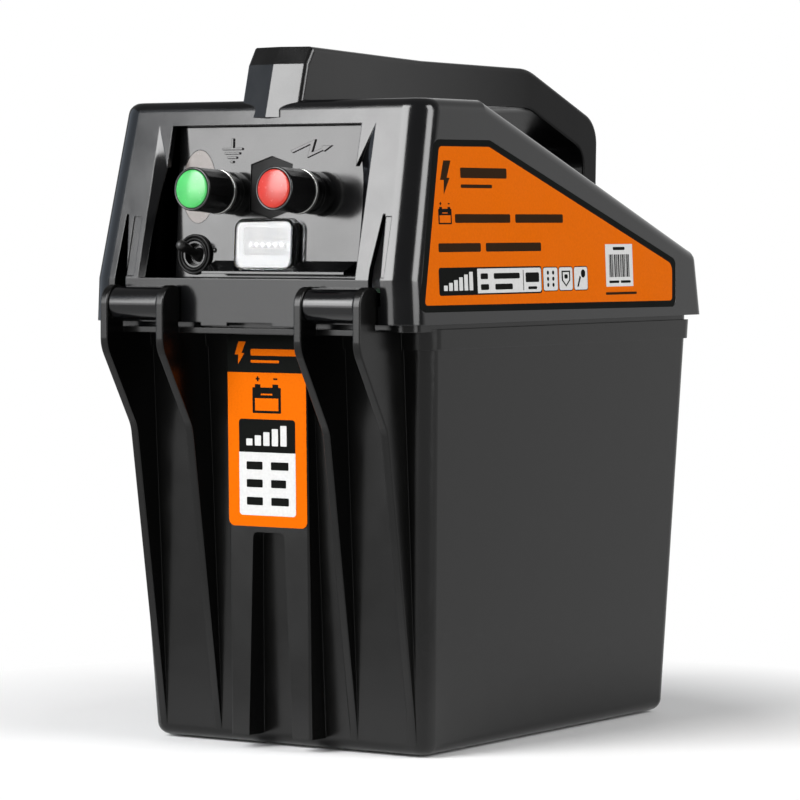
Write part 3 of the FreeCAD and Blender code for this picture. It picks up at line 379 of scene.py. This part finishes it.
def inset_outline(points, inset):
    """The polygon, run anticlockwise, with every side moved inwards."""
    made = []
    for k, corner in enumerate(points):
        here = Vector(corner)
        back = (here - Vector(points[k - 1])).normalized()
        ahead = (Vector(points[(k + 1) % len(points)]) - here).normalized()
        inward = Vector((-back.y - ahead.y, back.x + ahead.x)).normalized()
        reach = inset / max(0.2, inward.dot(Vector((-back.y, back.x))))
        moved = here + inward * reach
        made.append((moved.x, moved.y))
    return made


def finish_piece(name, mesh_builder, material, body, place, smooth_below=0.0):
    """Turns a bmesh in millimetres into a piece that rides on a body. Edges that turn by less than
    smooth_below, in degrees, are shaded smooth."""
    bmesh.ops.recalc_face_normals(mesh_builder, faces=mesh_builder.faces)
    mesh = bpy.data.meshes.new(name)
    mesh_builder.transform(place @ Matrix.Scale(MM, 4))
    if place.determinant() < 0:
        bmesh.ops.reverse_faces(mesh_builder, faces=mesh_builder.faces)
    mesh_builder.to_mesh(mesh)
    mesh_builder.free()
    mesh.materials.append(material)
    if smooth_below:
        mesh.shade_smooth()
        mesh.set_sharp_from_angle(angle=math.radians(smooth_below))
    piece = bpy.data.objects.new(name, mesh)
    bpy.context.collection.objects.link(piece)
    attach(piece, body)
    return piece


def slab(builder, outline, low, high):
    """Adds a flat solid with this outline to the bmesh."""
    bottom = [builder.verts.new((x, y, low)) for x, y in outline]
    top = [builder.verts.new((x, y, high)) for x, y in outline]
    builder.faces.new(top)
    builder.faces.new(bottom[::-1])
    for k in range(len(outline)):
        n = (k + 1) % len(outline)
        builder.faces.new((bottom[k], bottom[n], top[n], top[k]))


def turned(builder, profile, sides, radius_at=None):
    """Adds a solid of revolution about Z. The profile holds (radius, z) points, and radius_at may
    scale the radius by angle and height."""
    rings = []
    for radius, z in profile:
        if radius < 1e-6:
            rings.append([builder.verts.new((0, 0, z))])
            continue
        ring = []
        for k in range(sides):
            angle = 2 * math.pi * k / sides
            reach = radius * (radius_at(angle, z) if radius_at else 1.0)
            ring.append(builder.verts.new((reach * math.cos(angle), reach * math.sin(angle), z)))
        rings.append(ring)
    for low, high in zip(rings, rings[1:]):
        for k in range(sides):
            n = (k + 1) % sides
            corners = [low[k % len(low)], low[n % len(low)], high[n % len(high)], high[k % len(high)]]
            unique = [v for i, v in enumerate(corners) if v not in corners[:i]]
            if len(unique) > 2:
                builder.faces.new(unique)


def arc_points(cx, cz, radius, start, end, steps=6):
    """Profile points along an arc, with angles in degrees from the radial axis."""
    made = []
    for step in range(steps + 1):
        angle = math.radians(start + (end - start) * step / steps)
        made.append((cx + radius * math.cos(angle), cz + radius * math.sin(angle)))
    return made


# ---------------------------------------------------------------- printed labels
INK = 0.03                     # thickness of one printed layer
FIELD_TALL = 69.2              # height of the front label's orange field
CARD_HALF = 15.4               # half width of the card on it
CARD_RISES = (5.0, 33.4, 48.3)  # the card's foot, its dark block's foot, and its top
CARD_CORNER = 1.6
ROW_COUNT = 3
ROW_PITCH = 8.0
ROW_TALL = 3.6
TILES = [(103.1, 115.4), (116.9, 128.6), (130.2, 142.0)]    # square tiles along the side label
BOLT = [(0.0, 0.0), (5.2, 7.4), (2.9, 7.4), (6.4, 15.0), (0.6, 15.0), (-2.6, 6.4), (0.4, 6.4)]


def outer_face(node, outward, right):
    """The frame of a node's flat outer face: x right, y up, z out. Its origin lies on the face,
    straight outwards from the world's origin. With it comes how upright the face stands."""
    mesh = nodes[node].data
    outward = Vector(outward)
    normal, centre, total = Vector(), Vector(), 0.0
    for polygon in mesh.polygons:
        if polygon.normal.dot(outward) > 0.98:
            normal += polygon.normal * polygon.area
            centre += polygon.center * polygon.area
            total += polygon.area
    normal.normalize()
    centre /= total
    right = Vector(right)
    up = normal.cross(right)
    height = centre.dot(normal) / normal.dot(outward)
    turn = Matrix((right, up, normal)).transposed().to_4x4()
    return Matrix.Translation(outward * height) @ turn, up.z


def print_layer(name, place, outlines, layer, material, body):
    builder = bmesh.new()
    for outline in outlines:
        slab(builder, outline, -0.01, INK * layer)
    return finish_piece(name, builder, material, body, place)


def shifted(outline, dx, dy, scale=1.0):
    return [(x * scale + dx, y * scale + dy) for x, y in outline]


def battery_sign(x0, x1, y0, y1, stroke):
    """A battery pictogram: black outlines first, then the window's outlines in the ground colour."""
    wide, tall = x1 - x0, y1 - y0
    stud = wide * 0.2
    cap = tall * 0.12
    black = [bar(x0, x1, y0, y1, 0.5)]
    for x in (x0 + wide * 0.09, x1 - wide * 0.09 - stud):
        black.append(bar(x, x + stud, y1 - 0.1, y1 + cap))
    arm = wide * 0.07
    mark = y1 + tall * 0.33
    plus, minus = x0 + wide * 0.19, x1 - wide * 0.19
    black.append(bar(plus - arm, plus + arm, mark - stroke / 2, mark + stroke / 2))
    black.append(bar(plus - stroke / 2, plus + stroke / 2, mark - arm, mark + arm))
    black.append(bar(minus - arm, minus + arm, mark - stroke / 2, mark + stroke / 2))
    window = [bar(x0 + wide * 0.09, x1 - wide * 0.09, y0 + tall * 0.1, y1 - tall * 0.42)]
    window.append(bar(x0 + wide * 0.3, x1 - wide * 0.3, y1 - tall * 0.3, y1 - tall * 0.24))
    return black, window


def level_bars(x0, x1, y0, y1, count=5):
    """A row of bars that grow from left to right."""
    pitch = (x1 - x0) / count
    return [bar(x0 + k * pitch, x0 + (k + 0.72) * pitch, y0,
                y0 + (y1 - y0) * (k + 2) / (count + 1), 0.3) for k in range(count)]


def front_label():
    """The tub's label: a dark header over an orange field with a pictogram and a card of rows."""
    place, stretch = outer_face("tub_label", (0, -1, 0), (1, 0, 0))
    low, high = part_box("tub_label")
    bottom = low.z / MM / stretch
    half = (high.x - low.x) / 2 / MM
    header = bottom + FIELD_TALL
    card_foot, card_middle, card_head = (bottom + rise for rise in CARD_RISES)
    field = rounded_outline(rectangle(-half, half, bottom, header), [3.0, 3.0, 0, 0])
    print_layer("front_label_orange", place, [field], 1, ORANGE_INK, "tub")
    black, window = battery_sign(-7.8, 7.8, bottom + 51.0, bottom + 62.6, 0.8)
    block = rounded_outline(rectangle(-CARD_HALF, CARD_HALF, card_middle, card_head),
                            [0, 0, CARD_CORNER, CARD_CORNER])
    print_layer("front_label_black", place, black + [block], 2, BLACK_INK, "tub")
    panel = rounded_outline(rectangle(-CARD_HALF, CARD_HALF, card_foot, card_middle),
                            [CARD_CORNER, CARD_CORNER, 0, 0])
    levels = level_bars(-11.4, 12.0, bottom + 36.4, bottom + 45.6)
    print_layer("front_label_white", place, [panel] + levels, 3, WHITE_INK, "tub")
    print_layer("front_label_sign_window", place, window, 3, ORANGE_INK, "tub")
    emblem = [shifted(BOLT, -15.6, header + 3.6, 0.68),
              bar(-8.6, 16.4, header + 7.6, header + 10.6, 0.8),
              bar(-8.6, 7.0, header + 4.4, header + 5.6, 0.5)]
    print_layer("front_label_emblem", place, emblem, 1, ORANGE_INK, "tub")
    rows = []
    for k in range(ROW_COUNT):
        y = bottom + 9.6 + ROW_PITCH * k
        rows.append(bar(-11.4, -2.6, y, y + ROW_TALL, 0.5))
        rows.append(bar(2.0, 11.6 - 1.4 * (k == 1), y, y + ROW_TALL, 0.5))
    print_layer("front_label_rows", place, rows, 4, BLACK_INK, "tub")


def code_bars(x0, x1, y0, y1):
    """An even pattern of upright bars, three widths in turn."""
    made, x, k = [], x0, 0
    while x < x1 - 1.2:
        width = 0.4 + 0.38 * ((k * 5) % 3)
        made.append(bar(x, x + width, y0, y1))
        x += width + 0.42 + 0.3 * ((k * 7) % 4 == 1)
        k += 1
    return made


def label_outline(low, high):
    """The side label's outline as the lid carries it, anticlockwise: along the side, and up it."""
    return [(low[0], low[1] + 1.3), (high[0] - 1.6, low[1]), (high[0], low[1] + 22.5),
            (high[0] - 163.6, high[1]), (low[0] + 17.2, high[1] - 0.3)]


def side_label(side):
    """The printing on one side of the lid. Side is 1 on the right and -1 on the left."""
    node = "side_label_right" if side > 0 else "side_label_left"
    name = "side_right" if side > 0 else "side_left"
    place, stretch = outer_face(node, (side, 0, 0), (0, side, 0))
    if side < 0:
        place = place @ Matrix.Diagonal((-1, 1, 1, 1))
    low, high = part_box(node)
    y0, y1 = low.y / MM, high.y / MM
    z0, z1 = low.z / MM / stretch, high.z / MM / stretch
    ground = inset_outline(label_outline((y0, z0), (y1, z1)), 3.0)
    field = rounded_outline(ground, [1.6, 2.0, 4.5, 4.5, 2.4])
    print_layer(f"{name}_orange", place, [field], 1, ORANGE_INK, "lid")

    def at(dy, dz):
        return y0 + dy, z0 + dz

    def words(row, spans, tall):
        """Plain bars in the place of a line of words."""
        return [bar(y0 + a, y0 + b, z0 + row, z0 + row + tall, 0.8) for a, b in spans]

    dark = [shifted(BOLT, *at(22.0, 52.6))]
    dark += words(60.0, [(36.0, 74.6)], 4.6)
    dark += words(55.6, [(36.0, 62.0)], 1.6)
    dark += words(40.2, [(30.4, 76.4), (80.6, 122.0)], 3.9)
    dark += words(27.4, [(16.2, 50.8), (55.0, 102.0)], 3.9)
    dark += words(6.6, [(158.4, 187.0)], 1.2)
    print_layer(f"{name}_lines", place, dark, 2, BROWN_INK, "lid")

    sign, window = battery_sign(y0 + 17.0, y0 + 27.8, z0 + 39.6, z0 + 46.4, 0.6)
    strip = bar(y0 + 15.6, y0 + 101.6, z0 + 8.3, z0 + 20.6, 1.4)
    frames = [bar(y0 + a - 0.4, y0 + b + 0.4, z0 + 9.0, z0 + 20.2, 1.5) for a, b in TILES]
    print_layer(f"{name}_black", place, sign + [strip] + frames, 2, BLACK_INK, "lid")
    print_layer(f"{name}_sign_window", place, window, 3, ORANGE_INK, "lid")

    card = rectangle(y0 + 47.0, y0 + 101.0, z0 + 9.0, z0 + 19.9)
    white = [rounded_outline(card, [0, 1.2, 1.2, 0])]
    white += level_bars(y0 + 19.4, y0 + 44.4, z0 + 10.4, z0 + 18.6, 6)
    white += [bar(y0 + a, y0 + b, z0 + 9.4, z0 + 19.8, 1.2) for a, b in TILES]
    white.append(bar(y0 + 159.0, y0 + 184.0, z0 + 10.4, z0 + 30.2, 0.3))
    print_layer(f"{name}_white", place, white, 3, WHITE_INK, "lid")

    marks = [bar(y0 + 85.4, y0 + 85.9, z0 + 9.8, z0 + 19.0)]
    for row, spans in ((15.2, [(49.6, 55.8), (60.6, 82.6)]), (10.4, [(49.6, 56.4), (61.6, 76.4)])):
        marks += words(row, spans, 2.6)
    marks += words(13.4, [(87.6, 99.2)], 4.4) + words(10.2, [(89.6, 97.2)], 1.3)
    for k in range(6):
        marks.append(disc(y0 + 107.0 + 4.6 * (k % 2), z0 + 11.9 + 2.8 * (k // 2), 0.95))
    badge = [(0, 0), (3.8, 3.0), (3.8, 7.4), (-3.8, 7.4), (-3.8, 3.0)]
    marks.append(shifted(badge, *at(122.8, 10.9)))
    marks.append(disc(y0 + 138.2, z0 + 16.8, 1.9))
    marks.append(shifted([(0, 0), (1.4, 0), (3.6, 4.4), (2.4, 5.0)], *at(132.6, 10.8)))
    marks += words(27.4, [(166.0, 177.0)], 1.5)
    marks += code_bars(y0 + 162.2, y0 + 182.0, z0 + 14.8, z0 + 25.4)
    marks += words(12.0, [(161.8, 171.0), (172.4, 181.6)], 1.2)
    print_layer(f"{name}_marks", place, marks, 4, BLACK_INK, "lid")
    shield = shifted([(0, 0), (2.7, 2.3), (2.7, 5.8), (-2.7, 5.8), (-2.7, 2.3)], *at(122.8, 11.8))
    print_layer(f"{name}_shield", place, [shield], 5, WHITE_INK, "lid")
    print_layer(f"{name}_shield_bar", place, words(14.6, [(121.3, 124.3)], 2.0), 6, BLACK_INK, "lid")


# ---------------------------------------------------------------- terminal panel
STUD_UP = 38.6                 # the studs' height on the panel
PIVOT_OUT = 11.0               # how far out of the panel the knob joints' points lie
SWITCH_REACH = 14.5            # from the toggle's pivot to the middle of its round tip
SWITCH_TILT = 15.0             # degrees above straight out
KNOB_RADIUS = 9.9
KNOB_BACK = 11.0               # from the panel to the knob's rear face
KNOB_FRONT = 29.4
KNOB_FLATS = 16
KNOB_BORE = 4.3
CAP_RADIUS = 8.5
CAP_STEPS = 9                  # rings of the cap's dome
WASHER_LOW = 8.75              # the clamp washer's faces, out of the panel
WASHER_HIGH = 10.65
WASHER_RIM = 0.4
WASHER_BORE = 4.15


def panel_place():
    """The terminal panel's frame: x right, y up the panel, z out of it."""
    earth, fence = joints["earth_knob_turn"], joints["fence_knob_turn"]
    out = Vector(fence["axis"]).normalized()
    right = Vector((1, 0, 0))
    up = out.cross(right)
    middle = (Vector(earth["pos_m"]) + Vector(fence["pos_m"])) / 2
    foot = middle - out * PIVOT_OUT * MM - up * STUD_UP * MM
    turn = Matrix((right, up, out)).transposed().to_4x4()
    return Matrix.Translation(foot) @ turn


def on_panel(x, up):
    return PANEL_PLACE @ Matrix.Translation(Vector((x, up, 0.0)) * MM)


def knob(name, x):
    """A knob with flats for the fingers, a rim round its cap and a small flange at its back."""
    def flatten(angle, z):
        step = 2 * math.pi / KNOB_FLATS
        inside = (angle + step / 2) % step - step / 2
        flat = math.cos(step / 2) / math.cos(inside)
        past_flange = min(1.0, max(0.0, z - KNOB_BACK - 1.6))
        before_rim = min(1.0, max(0.0, KNOB_FRONT - 1.2 - z))
        return 1.0 + (flat - 1.0) * past_flange * before_rim

    profile = [(KNOB_BORE, KNOB_BACK), (KNOB_RADIUS - 0.9, KNOB_BACK)]
    profile += arc_points(KNOB_RADIUS - 0.5, KNOB_BACK + 0.6, 0.5, -90, 0, 4)
    profile += [(KNOB_RADIUS, KNOB_BACK + 1.6), (KNOB_RADIUS, KNOB_BACK + 2.8)]
    profile += [(KNOB_RADIUS - 0.1, KNOB_FRONT - 2.4), (KNOB_RADIUS - 0.1, KNOB_FRONT - 1.2)]
    profile += arc_points(KNOB_RADIUS - 0.7, KNOB_FRONT - 0.5, 0.6, 0, 150, 6)
    profile += [(CAP_RADIUS + 0.2, KNOB_FRONT - 1.3), (KNOB_BORE, KNOB_FRONT - 1.3)]
    profile += [(KNOB_BORE, KNOB_BACK)]
    builder = bmesh.new()
    turned(builder, profile, KNOB_FLATS * 10, flatten)
    bmesh.ops.remove_doubles(builder, verts=builder.verts, dist=1e-4)
    place = on_panel(x, STUD_UP)
    piece = finish_piece(f"{name}_grip", builder, KNOB, f"{name}_knob_body", place, 35)
    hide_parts(f"{name}_knob")


def knob_cap(name, x, material):
    """The coloured cap: a shallow dome with a step round it."""
    seat = KNOB_FRONT - 1.2
    profile = [(0.0, seat), (CAP_RADIUS, seat), (CAP_RADIUS, seat + 1.1)]
    profile += arc_points(CAP_RADIUS - 0.5, seat + 1.1, 0.5, 0, 60, 4)
    for k in range(1, CAP_STEPS + 1):
        share = 1.0 - k / CAP_STEPS
        profile.append(((CAP_RADIUS - 0.6) * share, seat + 1.62 + 0.85 * (1.0 - share * share)))
    builder = bmesh.new()
    turned(builder, profile, 96)
    place = on_panel(x, STUD_UP)
    piece = finish_piece(f"{name}_cap_lens", builder, material, f"{name}_knob_body", place, 40)
    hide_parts(f"{name}_knob_cap")


def washer(name, x):
    """The clamp washer, with rounded rims."""
    rim = KNOB_RADIUS + 0.2 - WASHER_RIM
    profile = [(WASHER_BORE, WASHER_LOW)]
    profile += arc_points(rim, WASHER_LOW + WASHER_RIM, WASHER_RIM, -90, 0, 4)
    profile += arc_points(rim, WASHER_HIGH - WASHER_RIM, WASHER_RIM, 0, 90, 4)
    profile += [(WASHER_BORE, WASHER_HIGH), (WASHER_BORE, WASHER_LOW)]
    builder = bmesh.new()
    turned(builder, profile, 80)
    bmesh.ops.remove_doubles(builder, verts=builder.verts, dist=1e-4)
    place = on_panel(x, STUD_UP)
    piece = finish_piece(f"{name}_washer_ring", builder, ZINC, f"{name}_clamp", place, 40)
    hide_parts(f"{name}_clamp_washer")


def toggle():
    """The toggle lever, a bat with a round tip. The ribbed rubber seal that it stands in is made by
    switch_seal.
    """
    pivot = Matrix.Translation(Vector(joints["switch_flip"]["pos_m"]))
    turn = PANEL_PLACE.to_3x3().to_4x4() @ Matrix.Rotation(-math.radians(SWITCH_TILT), 4, "X")
    profile = arc_points(0.0, 0.0, 2.9, -90, 40, 10)
    profile += [(1.75, 3.2), (1.85, 5.5), (2.25, 10.0), (2.5, SWITCH_REACH - 1.6)]
    profile += arc_points(0.0, SWITCH_REACH - 1.0, 2.5, 0, 90, 8)
    builder = bmesh.new()
    turned(builder, profile, 40)
    bmesh.ops.remove_doubles(builder, verts=builder.verts, dist=1e-4)
    place = pivot @ turn
    lever = finish_piece("toggle_bat", builder, LEVER, "switch_toggle", place, 50)
    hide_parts("switch_lever")


def switch_seal(x, up):
    """Concentric ridges between the toggle and its ring."""
    profile = [(8.9, 0.15), (9.2, 0.5)]
    profile += arc_points(8.5, 1.0, 0.7, 0, 180, 8)
    profile += [(7.7, 0.8)] + arc_points(6.95, 1.05, 0.6, 0, 180, 6) + [(6.2, 0.7)]
    profile += [(6.12, 0.15), (8.9, 0.15)]
    builder = bmesh.new()
    turned(builder, profile, 72)
    bmesh.ops.remove_doubles(builder, verts=builder.verts, dist=1e-4)
    piece = finish_piece("switch_seal", builder, RUBBER, "lid", on_panel(x, up), 50)
    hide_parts("switch_ring")


PANEL_PLACE = panel_place()


def panel_pieces():
    for name, cap, slot in (("earth", GREEN, "green_plastic"), ("fence", RED, "red_plastic")):
        local = PANEL_PLACE.inverted() @ Vector(joints[f"{name}_knob_turn"]["pos_m"])
        x = local.x / MM
        knob(name, x)
        knob_cap(name, x, cap)
        washer(name, x)
    toggle()
    pivot = PANEL_PLACE.inverted() @ Vector(joints["switch_flip"]["pos_m"])
    switch_seal(pivot.x / MM, pivot.y / MM)


# ---------------------------------------------------------------- stage
LENS_LENGTH = 181.485          # for a sensor 36 mm wide
CAMERA_AT = (1.0433, -1.5848, 0.2383)
CAMERA_AZIMUTH = 33.44
CAMERA_RISE = 2.55
ROOM = 0.22                    # radiance of the dim room
FLOOR_GLOW = 0.75              # what reflections see of the floor far out
FLOOR_RADIUS = 5.0
GLOW_START = 0.17              # distance from the middle where that shine sets in, in metres
GLOW_FULL = 0.32
CARD_BLUE = (0.8, 0.95, 1.15)  # the colour of the dim light from the left


def camera():
    data = bpy.data.cameras.new("camera")
    data.lens = LENS_LENGTH
    data.clip_start = 0.1
    data.clip_end = 60.0
    made = bpy.data.objects.new("camera", data)
    made.location = CAMERA_AT
    made.rotation_euler = (math.radians(90 - CAMERA_RISE), 0, math.radians(CAMERA_AZIMUTH))
    bpy.context.collection.objects.link(made)
    bpy.context.scene.camera = made


def floor():
    """A large pale disc. Far out it shines like the backdrop, so that it has no edge."""
    material, tree, shader = new_material("studio_floor")
    cloud = ranged(tree, noise(tree, 6.0, 4.0), 0.0, 1.0)
    tree.links.new(two_colours(tree, cloud, (0.84, 0.84, 0.84), (0.88, 0.88, 0.88)),
                   shader.inputs["Base Color"])
    shader.inputs["Roughness"].default_value = 0.7
    shader.inputs["Specular IOR Level"].default_value = 0.2
    place = add_node(tree, "ShaderNodeTexCoord")
    reach = add_node(tree, "ShaderNodeVectorMath", operation="LENGTH")
    tree.links.new(place.outputs["Object"], reach.inputs[0])
    outer = ranged(tree, reach.outputs["Value"], 0.0, 1.0, GLOW_START, GLOW_FULL)
    path = add_node(tree, "ShaderNodeLightPath")
    glow = add_node(tree, "ShaderNodeEmission", {"Color": (1, 1, 1, 1)})
    strength = ranged(tree, path.outputs["Is Camera Ray"], FLOOR_GLOW, 1.0, 0.0, 1.0)
    tree.links.new(strength, glow.inputs["Strength"])
    mix = add_node(tree, "ShaderNodeMixShader")
    tree.links.new(outer, mix.inputs["Fac"])
    tree.links.new(shader.outputs["BSDF"], mix.inputs[1])
    tree.links.new(glow.outputs["Emission"], mix.inputs[2])
    tree.links.new(mix.outputs["Shader"], tree.nodes["Material Output"].inputs["Surface"])
    builder = bmesh.new()
    bmesh.ops.create_circle(builder, cap_ends=True, segments=128, radius=FLOOR_RADIUS)
    mesh = bpy.data.meshes.new("floor")
    builder.to_mesh(mesh)
    builder.free()
    mesh.materials.append(material)
    disc_object = bpy.data.objects.new("floor", mesh)
    bpy.context.collection.objects.link(disc_object)


def softbox(name, centre, look_at, wide, tall, radiance, colour=(1.0, 1.0, 1.0)):
    """A rectangular light that faces a point."""
    data = bpy.data.lights.new(name, "AREA")
    data.shape = "RECTANGLE"
    data.size, data.size_y = wide, tall
    data.energy = radiance * math.pi * wide * tall
    data.color = colour
    made = bpy.data.objects.new(name, data)
    made.location = centre
    made.rotation_euler = (Vector(look_at) - Vector(centre)).to_track_quat("-Z", "Y").to_euler()
    made.visible_camera = False
    bpy.context.collection.objects.link(made)


def around(azimuth, distance, height):
    """A point round the object. Azimuth 0 is in front of it and 90 to its right."""
    angle = math.radians(azimuth)
    return (distance * math.sin(angle), -distance * math.cos(angle), height)


def upright_box(name, azimuth, far, wide, low, high, radiance, colour=(1.0, 1.0, 1.0)):
    """A softbox that stands square to the object, from one height to another."""
    middle = (low + high) / 2
    softbox(name, around(azimuth, far, middle), (0.0, 0.0, middle), wide, high - low, radiance, colour)


def lights():
    """Softboxes in front and at the right, brighter above than below, and dim cards at the left."""
    upright_box("key_low", -20.0, 2.06, 1.4, 0.0, 2.4, 3.0)
    upright_box("key_middle", -19.5, 2.0, 1.32, 0.34, 2.4, 6.6)
    upright_box("key_high", -19.0, 1.94, 1.24, 0.8, 2.4, 3.4)
    upright_box("side_low", 92.0, 2.06, 0.89, 0.0, 2.2, 3.4)
    upright_box("side_high", 92.0, 2.0, 0.85, 0.34, 2.2, 5.8)
    upright_box("left_card", -75.0, 2.2, 2.6, 0.0, 1.6, 0.5, CARD_BLUE)
    upright_box("left_edge", -44.0, 2.12, 0.4, 0.2, 1.8, 0.3, CARD_BLUE)


def world():
    """White to the eye. For light, a dim room with a bright backdrop behind the object."""
    made = bpy.data.worlds.new("studio")
    made.use_nodes = True
    tree = made.node_tree
    tree.nodes.clear()
    place = add_node(tree, "ShaderNodeTexCoord")
    parts = add_node(tree, "ShaderNodeSeparateXYZ")
    tree.links.new(place.outputs["Generated"], parts.inputs["Vector"])
    backdrop = ranged(tree, parts.outputs["Y"], 0.0, 0.8, 0.6, 0.78)
    below = ranged(tree, parts.outputs["Z"], 1.0, 0.1, 0.35, 0.6)
    joined = add_node(tree, "ShaderNodeMath", operation="MULTIPLY_ADD")
    joined.inputs[2].default_value = ROOM
    tree.links.new(backdrop, joined.inputs[0])
    tree.links.new(below, joined.inputs[1])
    room = add_node(tree, "ShaderNodeBackground")
    tree.links.new(joined.outputs["Value"], room.inputs["Strength"])
    seen = add_node(tree, "ShaderNodeBackground", {"Color": (1, 1, 1, 1), "Strength": 1.0})
    path = add_node(tree, "ShaderNodeLightPath")
    mix = add_node(tree, "ShaderNodeMixShader")
    output = add_node(tree, "ShaderNodeOutputWorld")
    tree.links.new(path.outputs["Is Camera Ray"], mix.inputs["Fac"])
    tree.links.new(room.outputs["Background"], mix.inputs[1])
    tree.links.new(seen.outputs["Background"], mix.inputs[2])
    tree.links.new(mix.outputs["Shader"], output.inputs["Surface"])
    bpy.context.scene.world = made


# ---------------------------------------------------------------- build
paint_nodes()
front_label()
side_label(1)
side_label(-1)
panel_pieces()
camera()
floor()
lights()
world()
bpy.context.scene.view_settings.view_transform = "Standard"
